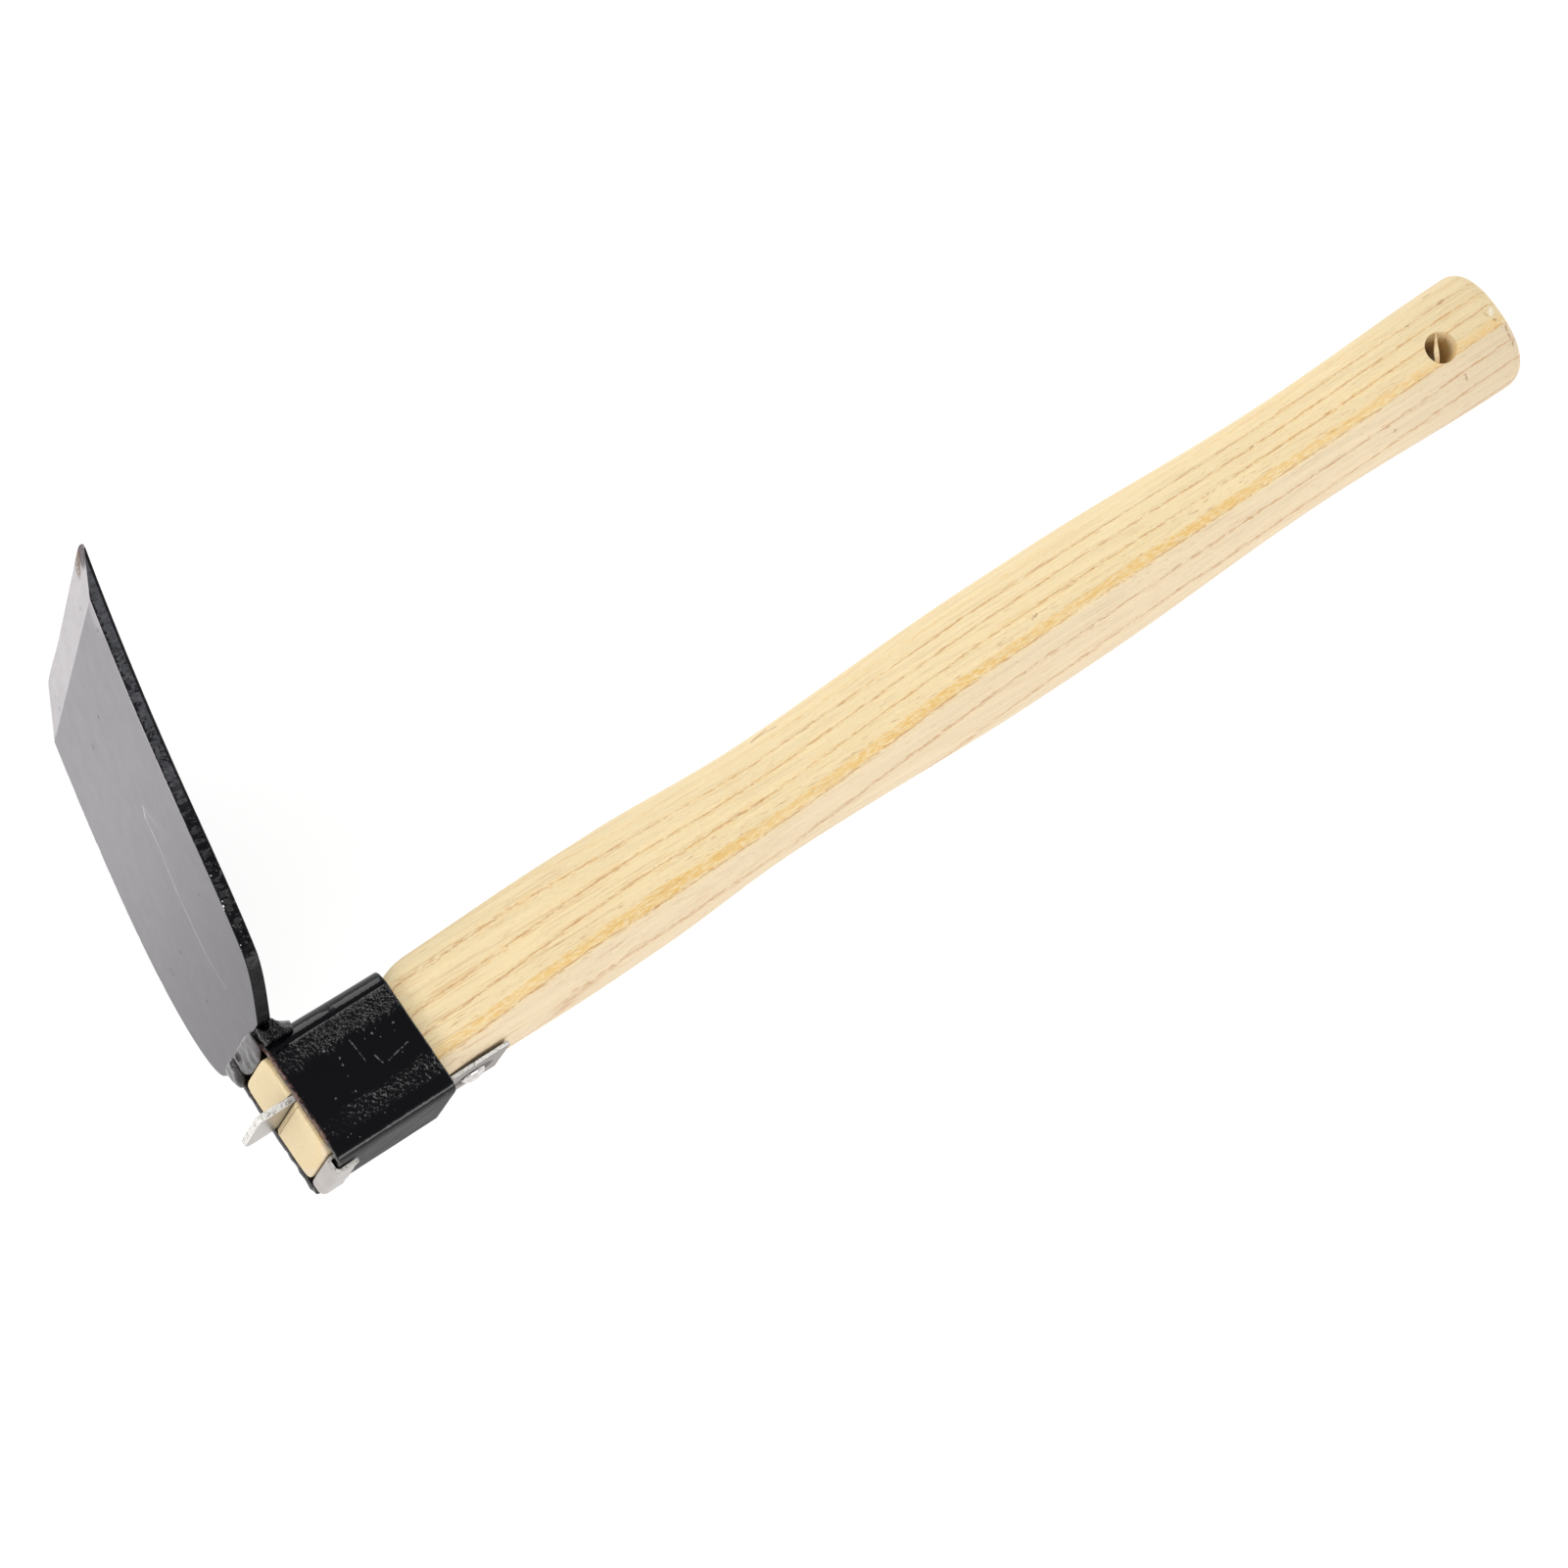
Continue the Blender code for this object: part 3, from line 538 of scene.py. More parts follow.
def handle_ring(x, section, inset):
    """Points of a superellipse, drawn in by inset, closer together at its four corners."""
    half_width, bottom, top, squareness = section
    half_width -= inset
    half_height = (top - bottom) / 2 - inset
    middle = (top + bottom) / 2
    ring = []
    for i in range(SECTION_POINTS):
        even = 2 * math.pi * (i + 0.5) / SECTION_POINTS
        angle = even + CORNER_CROWDING * math.sin(4 * even)
        c, s = math.cos(angle), math.sin(angle)
        reach = (abs(c) ** squareness + abs(s) ** squareness) ** (-1 / squareness)
        ring.append(Vector((x, half_width * reach * c, middle + half_height * reach * s)))
    return ring


def handle_rings(handle, socket, strap_thickness):
    """Rings of the wood from the tenon's broken edge to the butt's rounding."""

    def section(x):
        return handle_section(handle, socket, strap_thickness, x)

    tenon_end, neck = neck_span(socket)
    grip_end = handle.length - BUTT_ROUNDING
    rings = []
    for c, s in arc(QUARTER, 3):
        x = -TENON_PROUD + TENON_EDGE_BREAK * (1 - c)
        rings.append(handle_ring(x, section(0.0), TENON_EDGE_BREAK * (1 - s)))
    spots = [tenon_end * i / 12 for i in range(13)]
    spots += spread(tenon_end, neck, 12)[1:-1]
    spots += spread(neck, grip_end, round((grip_end - neck) / GRIP_STEP))
    rings += [handle_ring(x, section(x), 0.0) for x in spots]
    for c, s in arc(QUARTER, 10)[1:]:
        x = grip_end + BUTT_ROUNDING * s
        rings.append(handle_ring(x, section(x), BUTT_ROUNDING * (1 - c)))
    return rings


def wedge_slope(fasteners):
    """How much thinner the wedge gets with each length further in."""
    return (fasteners.wedge_thickness - WEDGE_INNER_THICKNESS) / (fasteners.wedge_proud + WEDGE_DEPTH)


def wedge_outline(fasteners, front, grow):
    """X-Z outline of the wedge from front to its inner end, grown on its faces by grow."""
    slope = wedge_slope(fasteners)
    back = WEDGE_DEPTH + grow
    front_half = (fasteners.wedge_thickness + slope * (-fasteners.wedge_proud - front)) / 2 + grow
    back_half = WEDGE_INNER_THICKNESS / 2 + grow
    z = WEDGE_HEIGHT_OFFSET
    return [
        (front, z - front_half),
        (back, z - back_half),
        (back, z + back_half),
        (front, z + front_half),
    ]


def kerf_bodies(fasteners, beyond):
    """What the wedge takes out of the wood: its kerf, the crushed lip and the crack beside it."""
    front = -TENON_PROUD - CUT_PAST_TENON
    lip_top = WEDGE_HEIGHT_OFFSET - fasteners.wedge_thickness / 2
    lip_top += wedge_slope(fasteners) * fasteners.wedge_proud / 2 - FIT_GAP
    lip_low = lip_top - CRUSHED_LIP_HEIGHT
    lip = [
        (front, lip_top + FIT_GAP),
        (front, lip_low),
        (-TENON_PROUD, lip_low),
        (-TENON_PROUD + CRUSHED_LIP_DEPTH, lip_top + FIT_GAP),
    ]
    crack_low = lip_low - CRACK_WIDTH
    crack = [
        (front, crack_low),
        (0.0, crack_low + CRACK_WIDTH * 0.6),
        (0.0, crack_low + CRACK_WIDTH * 0.9),
        (front, crack_low + CRACK_WIDTH),
    ]
    return [
        prism_body(wedge_outline(fasteners, front, FIT_GAP), -beyond, beyond),
        prism_body(lip, -beyond, beyond),
        prism_body(crack, -beyond, CRACK_END),
    ]


def hang_hole_body(handle, beyond):
    """The drilled hole, pushed a little towards the butt and widened at its near mouth."""
    x, z = hang_hole_place(handle)
    radius = handle.hang_hole / 2
    return lofted_body([
        (Vector((x + HOLE_MOUTH_SHIFT[0], -beyond, z)), radius + HOLE_MOUTH_FLARE[0]),
        (Vector((x + HOLE_MOUTH_SHIFT[1], HOLE_MOUTH_ACROSS[0], z)), radius + HOLE_MOUTH_FLARE[1]),
        (Vector((x, HOLE_MOUTH_ACROSS[1], z)), radius),
        (Vector((x, beyond, z)), radius),
    ], 48)


def build_handle(settings):
    """Tenon, grip, butt and the holes and cuts in one piece of wood."""
    handle, socket, fasteners = settings.hoe_handle, settings.hoe_socket, settings.hoe_fasteners
    thin = fasteners.strap_thickness
    neck = neck_span(socket)[1]
    body = bmesh.new()
    rows = place_rings(body, handle_rings(handle, socket, thin))
    skin(body, rows)
    cap(body, rows[0], 6)
    cap(body, rows[-1], 5)
    for vertex in body.verts:
        if vertex.co.x > neck:
            hollow = waves(Vector((vertex.co.x * 0.25, vertex.co.y, vertex.co.z)), 9 * MM, 1)
            away = Vector((0, vertex.co.y, vertex.co.z - handle_axis(handle, vertex.co.x)))
            vertex.co += away.normalized() * hollow * 0.06 * MM
    wood = finish("ash_wood")
    piece = finish_piece("ash_handle", body, [wood], ["handle"], 0)
    nail_x, nail_z = nail_place(socket, thin)
    pilot = rod_body(
        NAIL_SHANK_DIAMETER / 2 + FIT_GAP,
        Vector((nail_x, 0, nail_z - 3 * MM)),
        Vector((nail_x, 0, nail_z + NAIL_SHANK_LENGTH + FIT_GAP)),
        24,
    )
    kerf = kerf_bodies(fasteners, socket.width)
    cut_away(piece, [*kerf, hang_hole_body(handle, socket.width), pilot])
    piece.data.set_sharp_from_angle(angle=math.radians(38))
    build_splinter(handle, wood)


def build_splinter(handle, wood):
    """The pale splinter that the drill left across the mouth of the hang hole."""
    x, z = hang_hole_place(handle)
    top = Vector((x + 2.3 * MM, -12.9 * MM, z + 4.15 * MM))
    low = Vector((x - 2.2 * MM, -12.6 * MM, z - 2.7 * MM))
    along = (low - top).normalized()
    side = along.cross(Vector((0, 1, 0))).normalized()
    deep = side.cross(along)
    thick = 0.3 * MM
    rings = []
    for share in spread(0.0, 1.0, 18):
        middle = top.lerp(low, share) + side * (0.12 * MM * waves(Vector((share, 0, 0)), 0.3, 2))
        wide = mix(0.25, 0.7, smoothstep(0.0, 0.75, share)) * MM
        ring = []
        for j, (c, s) in enumerate(arc(CIRCLE, 10)[:-1]):
            fray = 1 + 0.3 * waves(Vector((share, j, 0)), 0.35, 3)
            ring.append(middle + side * (wide * fray * c) + deep * (thick * s))
        rings.append(ring)
    finish_piece("hole_splinter", tube_body(rings), [wood], [], 50)


def socket_rings(socket):
    """Rings round the outside of the box from front to rear, then back through its inside."""
    half = socket.width / 2
    rim = [(RIM_ROUNDING * (1 - c), RIM_ROUNDING * (1 - s)) for c, s in arc(QUARTER, 4)]
    flat = spread(RIM_ROUNDING, socket.length - RIM_ROUNDING, SOCKET_STEPS)[1:-1]
    mirrored = [(socket.length - x, inset) for x, inset in rim[::-1]]
    profile = rim + [(x, 0.0) for x in flat] + mirrored
    rings = []
    for x, inset in profile:
        top, bottom = socket_outside(socket, x)
        rings.append(rounded_box(
            x, half - inset, bottom + inset, top - inset,
            SOCKET_BOTTOM_RADIUS - inset, SOCKET_TOP_RADIUS - inset,
        ))
    for x, inset in profile[::-1]:
        top, bottom = socket_inside(socket, x)
        rings.append(rounded_box(
            x, half - socket.wall + inset, bottom - inset, top + inset,
            SOCKET_BOTTOM_RADIUS - socket.wall + inset, SOCKET_TOP_RADIUS - socket.wall + inset,
        ))
    return rings


def worn_socket_point(socket, point):
    """Where a point of the box moves: a far rim further ahead, ragged rims and uneven paint."""
    half, half_height = socket.width / 2, socket.height / 2
    moved = point.copy()
    far_side = smoothstep(*FAR_RIM_ACROSS, point.y)
    moved.x -= FAR_RIM_AHEAD * far_side * (1 - smoothstep(0.0, FAR_RIM_DEPTH, point.x))
    front_wear = 1 - smoothstep(0.0, WORN_RIM_DEPTH, point.x)
    rear_wear = smoothstep(socket.length - WORN_RIM_DEPTH, socket.length, point.x)
    ragged = waves(point, 2.3 * MM, 4) + 0.6 * waves(point, 0.9 * MM, 5)
    moved.x += RIM_WEAR * front_wear * ragged
    moved.x += 0.5 * RIM_WEAR * rear_wear * waves(point, 3.1 * MM, 6)
    past_cheek = abs(point.y) > half - socket.wall + 0.6 * MM
    past_roof = abs(point.z) > half_height - socket.wall + 0.8 * MM
    if past_cheek or past_roof:
        bulge = waves(point, 11 * MM, 7) * 0.05 * MM
        for nib, radius, rise in PAINT_NIBS:
            gap = (point - nib).length / radius
            bulge += rise * math.exp(-gap * gap * 2.2)
        shares = [point.y / half, point.z / half_height]
        largest = max(abs(share) for share in shares)
        kept = [share if abs(share) > 0.93 * largest else 0 for share in shares]
        moved += Vector((0, *kept)).normalized() * bulge
    return moved


# Runs of paint that stand proud on the socket: place, radius, height
PAINT_NIBS = (
    (Vector((18.6, -16.2, 14.9)) * MM, 1.3 * MM, 0.5 * MM),
    (Vector((1.7, -16.4, -11.8)) * MM, 1.0 * MM, 0.6 * MM),
    (Vector((24.0, -6.0, -18.2)) * MM, 0.8 * MM, 0.35 * MM),
    (Vector((13.0, -16.2, -16.8)) * MM, 0.6 * MM, 0.3 * MM),
)


def build_socket(settings):
    """The box section with worn rims, paint nibs and slightly uneven walls."""
    socket = settings.hoe_socket
    body = bmesh.new()
    rows = place_rings(body, socket_rings(socket))
    skin(body, rows + rows[:1])
    for vertex in body.verts:
        vertex.co = worn_socket_point(socket, vertex.co.copy())
    finishes = [finish("socket_paint"), finish("satin_paint")]
    piece = finish_piece("boxed_socket", body, finishes, ["socket"], 50)
    for face in piece.data.polygons:
        if face.normal.z < -0.97 and face.center.z < 1 * MM - socket.height / 2:
            face.material_index = 1


def shoulder_half_width(blade, along, side):
    """Width from the blade's middle to its near or far edge, at a distance from its foot."""
    full = blade.width / 2
    width = full
    if along < SHOULDER_LENGTH:
        rest = 1 - along / SHOULDER_LENGTH
        round_share = (1 - rest ** SHOULDER_POWER) ** (1 / SHOULDER_POWER)
        width = mix(BLADE_FOOT_FAR, full, round_share)
    if side < 0:
        chamfer = BLADE_FOOT_NEAR + NEAR_CHAMFER_SLOPE * along
        meeting = max(0.0, 1 - abs(width - chamfer) / CHAMFER_BLEND)
        width = min(width, chamfer) - CHAMFER_BLEND * meeting ** 2 / 4
    return width


def on_blade(along, across, depth):
    """A point of the blade: along from its foot, across it, and into its thickness."""
    turn = along / BLADE_BEND_RADIUS
    reach = BLADE_BEND_RADIUS - depth
    flat = Vector((BLADE_BEND_RADIUS - reach * math.cos(turn), across, reach * math.sin(turn)))
    socket_top = bpy.context.scene.hoe_socket.height / 2
    foot = Vector((BLADE_SETBACK, 0.0, socket_top + BLADE_FOOT_ABOVE_SOCKET))
    return Matrix.Rotation(BLADE_LEAN, 3, "Y") @ flat + foot


def edge_line(blade, across):
    """Distance from the foot to the cutting edge, which runs at a slant."""
    half = blade.width / 2
    straight = blade.length - blade.skew * across / blade.width
    reach, drop = NEAR_TIP_CORNER if across < 0 else FAR_TIP_CORNER
    over = min(1.0, max(0.0, (abs(across) - half + reach) / reach))
    straight -= EDGE_HOLLOW * (1 - EDGE_HOLLOW_TURN * smoothstep(*EDGE_HOLLOW_SPAN, across))
    return straight - drop * (1 - math.sqrt(1 - over ** 2))


def bevel_line(blade, across):
    """Distance from the foot to the line where the ground bevel starts."""
    share = across / blade.width + 0.5
    straight = blade.length - blade.skew * across / blade.width
    ground = straight - mix(blade.near_bevel, blade.far_bevel, share)
    return min(ground, edge_line(blade, across) - LEAST_BEVEL)


def shear_mark(along, depth_share, side):
    """How far the sheared edge is torn inwards at a place along it."""
    start, end = SHEARED_EDGE_SPAN
    strength = smoothstep(start, start + SHEAR_FADE_IN, along)
    strength *= 1 - smoothstep(end - SHEAR_FADE_OUT, end, along)
    slanted = along + depth_share * 0.7 * MM
    fine = waves(Vector((slanted, 0, 0)), 0.75 * MM, 8 + side)
    coarse = waves(Vector((slanted, 0, 0)), 2.4 * MM, 11 + side)
    return max(0.0, 0.55 * fine + 0.6 * coarse) * strength * 0.8 * MM


BLADE_FACE, BLADE_BEVEL, BLADE_EDGE, BLADE_BACK = range(4)
RIM_INSET = 0.2 * MM
FACE_ROWS = 230
FACE_ROW_POWER = 1.25
BEVEL_ROWS = 26
MIDDLE_COLUMNS = 26

# Share of a tear that shows at the front face and at the back
TORN_SHARES = (0.8, 0.3)

# Shares of the blade's thickness at which the sheared edge has a line of points
EDGE_SHARES = (0.025, 0.08, 0.22, 0.38, 0.54, 0.7, 0.86, 0.94, 0.98)


def blade_columns(half):
    """Places across the blade, closer together towards its two tip corners."""
    near_reach, far_reach = NEAR_TIP_CORNER[0], FAR_TIP_CORNER[0]
    near, far = half - near_reach, half - far_reach
    columns = [-near - near_reach * math.sin(math.radians(a)) for a in range(90, 5, -6)]
    columns += spread(-near, far, MIDDLE_COLUMNS)
    columns += [far + far_reach * math.sin(math.radians(a)) for a in range(6, 91, 6)]
    return columns


def blade_grid(blade, columns):
    """Rows of places on the blade's front: along from the foot and into the thickness."""
    grid = []
    for i in range(FACE_ROWS + 1):
        share = (i / FACE_ROWS) ** FACE_ROW_POWER
        grid.append([(share * bevel_line(blade, y), 0.0) for y in columns])
    for i in range(1, BEVEL_ROWS + 1):
        share = i / BEVEL_ROWS
        deep = (blade.thickness - EDGE_THICKNESS) * share
        row = [(mix(bevel_line(blade, y), edge_line(blade, y), share), deep) for y in columns]
        grid.append(row)
    return grid


def sheared_lines(body, blade, places, side):
    """Lines of points down one side of the blade, torn and rounded, from its front to its back."""
    lines = []
    for share in EDGE_SHARES:
        line = []
        for along, depth in places:
            width = shoulder_half_width(blade, along, side)
            rim = max(0.0, 1 - min(share, 1 - share) / 0.07)
            torn = mix(*TORN_SHARES, share) * shear_mark(along, share, side)
            y = side * (width - RIM_INSET * 0.55 * rim - torn)
            line.append(body.verts.new(on_blade(along, y, mix(depth, blade.thickness, share))))
        lines.append(line)
    return lines


def build_blade(settings):
    """The plate: front face, ground bevel, painted sheared edges and painted back."""
    blade = settings.hoe_blade
    half = blade.width / 2
    columns = blade_columns(half)
    grid = blade_grid(blade, columns)
    body = bmesh.new()
    front, back = [], []
    for row in grid:
        front_row, back_row = [], []
        for across, (along, depth) in zip(columns, row):
            width = shoulder_half_width(blade, along, across)
            share = abs(across) / half
            side = -1 if across < 0 else 1
            rim = smoothstep(0.965, 1.0, share)
            faces = ((front_row, depth, 0.0), (back_row, blade.thickness, 1.0))
            for (line, deep, level), torn in zip(faces, TORN_SHARES):
                y = side * (share * (width - RIM_INSET) - rim * torn * shear_mark(along, level, side))
                line.append(body.verts.new(on_blade(along, y, deep)))
        front.append(front_row)
        back.append(back_row)
    skin(body, front[: FACE_ROWS + 1], closed=False, zone=BLADE_FACE)
    skin(body, front[FACE_ROWS:], closed=False, zone=BLADE_BEVEL)
    skin(body, back, closed=False, zone=BLADE_BACK)
    for column, side in ((0, -1), (len(columns) - 1, 1)):
        lines = sheared_lines(body, blade, [row[column] for row in grid], side)
        strip = [[row[column] for row in front], *lines, [row[column] for row in back]]
        skin(body, strip, closed=False, zone=BLADE_EDGE)
    for number, zone in ((0, BLADE_EDGE), (-1, BLADE_BEVEL)):
        shown, hidden = front[number], back[number]
        for i in range(len(columns) - 1):
            face = body.faces.new((shown[i], shown[i + 1], hidden[i + 1], hidden[i]))
            face.material_index = zone
    bmesh.ops.holes_fill(body, edges=[edge for edge in body.edges if edge.is_boundary], sides=0)
    finishes = [finish(name) for name in ("blade_face", "blade_bevel", "edge_paint", "back_paint")]
    piece = finish_piece("hoe_blade", body, finishes, ["blade"], 0)
    mark_zone_borders(piece)


def weld_unevenness(point, normal, seed):
    """Height of the lumps on a bead, in millimetres, with burnt metal at its near end."""
    lump = 0.16 * waves(point, 4.2 * MM, seed) + 0.03 * waves(point, 1.4 * MM, seed + 1)
    burnt = smoothstep(14.5 * MM, 17.5 * MM, -point.y) * smoothstep(0.0, 1.5 * MM, point.x)
    burnt *= 1 - smoothstep(0.3, 0.7, normal.z)
    crust = 0.55 * waves(point, 1.5 * MM, seed + 2) + 0.3 * waves(point, 0.7 * MM, seed + 3)
    return lump + burnt * crust


def pit_depth(point, pits):
    """How far the pits of a bead sink a point, with a raised rim round each."""
    depth_here = 0.0
    for centre, radius, depth in pits:
        gap = (point - centre).length / radius
        if gap < 1.6:
            rim = math.exp(-((gap - 1.15) / 0.25) ** 2)
            depth_here -= depth * (1 - smoothstep(0.35, 1.0, gap)) - 0.35 * depth * rim
    return depth_here


def mark_zone_borders(piece):
    """Makes the edges between two finishes sharp."""
    mesh = piece.data
    body = bmesh.new()
    body.from_mesh(mesh)
    for edge in body.edges:
        zones = {face.material_index for face in edge.link_faces}
        if len(zones) > 1:
            edge.smooth = False
    body.to_mesh(mesh)
    body.free()


def bead_ends(y, low, high):
    """1 along a bead, falling to a smaller share at each end."""
    share = 2 * (y - low) / (high - low) - 1
    return WELD_END_SHARE + (1 - WELD_END_SHARE) * (1 - abs(share) ** WELD_END_POWER)


def weld_floor(socket, y):
    """Height of the weld's underside, which follows the socket's rounded top corner."""
    radius = SOCKET_TOP_RADIUS
    over = min(max(0.0, abs(y) - (socket.width / 2 - radius)), 0.95 * radius)
    return socket.height / 2 - radius + math.sqrt((radius + FIT_GAP) ** 2 - over ** 2)


def ripple(y, phase):
    """The small waves that a welding pass leaves."""
    return WELD_RIPPLE * math.sin(2 * math.pi * y / WELD_RIPPLE_PITCH + phase)


def melt(name, rings, replaced, seed, pits):
    """A bead through rings, swollen onto its neighbours, rounded, and then made lumpy."""
    piece = finish_piece(name, tube_body(rings), [finish("weld_metal")], replaced, 0)
    swell = piece.modifiers.new("swell", "DISPLACE")
    swell.strength = WELD_OVERLAP
    swell.mid_level = 0.0
    remesh = piece.modifiers.new("remesh", "REMESH")
    remesh.mode = "VOXEL"
    remesh.voxel_size = WELD_VOXEL
    smooth = piece.modifiers.new("smooth", "SMOOTH")
    smooth.iterations = 18
    smooth.factor = 0.5
    bake_modifiers(piece)
    mesh = piece.data
    normals = [vertex.normal.copy() for vertex in mesh.vertices]
    for vertex, normal in zip(mesh.vertices, normals):
        lump = weld_unevenness(vertex.co, normal, seed)
        vertex.co = vertex.co + normal * (lump * MM * 0.8 + pit_depth(vertex.co, pits))
    mesh.shade_smooth()


# Section of the front bead: share of its height from the top, and share of its bulge
WELD_RAMP = ((0.0, 0.12), (0.2, 0.28), (0.4, 0.55), (0.58, 0.85), (0.74, 1.0), (0.9, 0.9), (1.0, 0.6))

# Pits in the beads: place, radius, depth
REAR_PITS = (
    (Vector((2.2, -19.4, 20.2)) * MM, 1.3 * MM, 0.9 * MM),
    (Vector((4.6, -18.6, 19.0)) * MM, 1.1 * MM, 0.8 * MM),
    (Vector((6.4, -17.4, 19.6)) * MM, 1.0 * MM, 0.6 * MM),
    (Vector((1.2, -17.8, 18.2)) * MM, 0.9 * MM, 0.7 * MM),
)
FRONT_PITS = (
    (Vector((-1.2, 5.4, 20.3)) * MM, 1.3 * MM, 0.9 * MM),
    (Vector((-1.4, 12.6, 20.5)) * MM, 1.2 * MM, 0.8 * MM),
)


def rear_bead_rings(socket, blade):
    """Sections of the fillet behind the blade, with the root pass under its foot."""
    high = socket.width / 2 + REAR_WELD_PAST_CHEEK
    foot_front = on_blade(-FIT_GAP, 0.0, FIT_GAP)
    foot_back = on_blade(-FIT_GAP, 0.0, blade.thickness + FIT_GAP)
    rings = []
    for y in spread(-high, high, 52):
        size = bead_ends(y, -high, high)
        climb = on_blade(REAR_WELD_UP * size, 0.0, blade.thickness + FIT_GAP)
        reach = REAR_WELD_BACK * size
        floor = weld_floor(socket, y)
        rise = climb.z - floor
        wave = ripple(y, 0.0) * size
        profile = [(foot_front.x, floor), (foot_front.x, foot_front.z)]
        profile += [(foot_back.x, foot_back.z), (climb.x, climb.z)]
        for share in (0.15, 0.35, 0.55, 0.8):
            rest = 1 - share
            z = floor + REAR_WELD_TOE + (rise - REAR_WELD_TOE) * rest ** REAR_WELD_HOLLOW
            profile.append((climb.x + reach * share, z + wave * rest))
        profile.append((climb.x + reach, floor + REAR_WELD_TOE / 2))
        profile.append((climb.x + reach, floor))
        rings.append([Vector((x, y, z)) for x, z in profile])
    return rings


def front_bead_rings(socket, start, end, phase):
    """Sections of one lump of the front bead, which hangs over the socket's front edge."""
    cheek, top = socket.width / 2, socket.height / 2
    rings = []
    for y in spread(start, end, 26):
        size = bead_ends(y, start, end)
        face = on_blade(FRONT_WELD_UP * size, 0.0, -FIT_GAP)
        bottom = top - (socket.wall + FRONT_WELD_BELOW_WALL) * size
        hanging = top - FAR_WELD_DROP + FAR_WELD_CLIMB * (y - cheek)
        bottom = min(max(bottom, hanging), face.z - 1 * MM)
        thinner = mix(1.0, 0.3, smoothstep(cheek - 2 * MM, end - 2 * MM, y))
        bulge = FRONT_WELD_BULGE * size * thinner + ripple(y, phase)
        profile = [(-FIT_GAP, face.z)]
        for share, reach in WELD_RAMP:
            profile.append((-FIT_GAP - bulge * reach, mix(face.z, bottom, share)))
        profile.append((-FIT_GAP, bottom))
        rings.append([Vector((x, y, z)) for x, z in profile])
    return rings


def build_welds(settings):
    """The fillet behind the blade and the two lumps of the front bead."""
    socket, blade = settings.hoe_socket, settings.hoe_blade
    melt("rear_bead", rear_bead_rings(socket, blade), ["weld_rear"], 21, REAR_PITS)
    near = front_bead_rings(socket, NEAR_WELD_INSET - socket.width / 2, NEAR_WELD_END, 0.0)
    melt("front_bead_near", near, ["weld_front_near"], 31, FRONT_PITS)
    far = front_bead_rings(socket, FAR_WELD_START, BLADE_FOOT_FAR - FAR_WELD_INSET, 1.5)
    melt("front_bead_far", far, ["weld_front_far"], 41, FRONT_PITS)


def build_wedge(settings):
    """A flat tapered plate with rounded outer corners and a hammered outer end."""
    fasteners, socket = settings.hoe_fasteners, settings.hoe_socket
    half = socket.width / 2 - socket.wall - WEDGE_SIDE_GAP
    outline = wedge_outline(fasteners, -fasteners.wedge_proud, 0.0)
    (front, low_front), (back, low_back), (_, high_back), (_, high_front) = outline

    def front_of(y):
        """Where the outer end lies, with its rounded corners and its ragged cut."""
        radius = WEDGE_NEAR_CORNER if y < 0 else WEDGE_FAR_CORNER
        over = min(radius, max(0.0, abs(y) - (half - radius)))
        ragged = 0.16 * MM * waves(Vector((y, 0, 0)), 1.3 * MM, 51)
        return front + radius - math.sqrt(radius ** 2 - over ** 2) + abs(ragged)

    columns = [half * math.sin(math.pi / 2 * y / half) for y in spread(-half, half, 54)]
    body = bmesh.new()
    low_rows, high_rows = [], []
    for share in spread(0.0, 1.0, 40):
        low_row, high_row = [], []
        for y in columns:
            x = mix(front_of(y), back, share)
            part = (x - front) / (back - front)
            dent = 0.05 * MM * waves(Vector((x, y, 0)), 2.2 * MM, 52)
            battered = 0.16 * MM * (1 - smoothstep(0.0, 1.6 * MM, x - front))
            battered *= 1 + waves(Vector((x, y, 0)), 0.9 * MM, 53)
            low = mix(low_front, low_back, part) + dent + battered
            high = mix(high_front, high_back, part) + dent - battered
            low_row.append(body.verts.new(Vector((x, y, low))))
            high_row.append(body.verts.new(Vector((x, y, high))))
        low_rows.append(low_row)
        high_rows.append(high_row)
    skin(body, low_rows, closed=False)
    skin(body, high_rows, closed=False)
    for low_line, high_line in (
        (low_rows[0], high_rows[0]),
        (low_rows[-1], high_rows[-1]),
        ([row[0] for row in low_rows], [row[0] for row in high_rows]),
        ([row[-1] for row in low_rows], [row[-1] for row in high_rows]),
    ):
        line = []
        for a, b in zip(low_line, high_line):
            out = Vector((-0.10 * MM, 0, 0)) if low_line is low_rows[0] else Vector()
            out *= 1 + 2.2 * waves(a.co, 0.8 * MM, 54)
            line.append(body.verts.new((a.co + b.co) / 2 + out))
        skin(body, [low_line, line, high_line], closed=False, zone=1)
    bmesh.ops.remove_doubles(body, verts=body.verts, dist=0.004 * MM)
    finishes = [finish("wedge_steel"), finish("cut_steel")]
    finish_piece("driven_wedge", body, finishes, ["wedge"], 35)


STRAP_REAR_STEPS = 38
STRAP_TORN_ROWS = 6


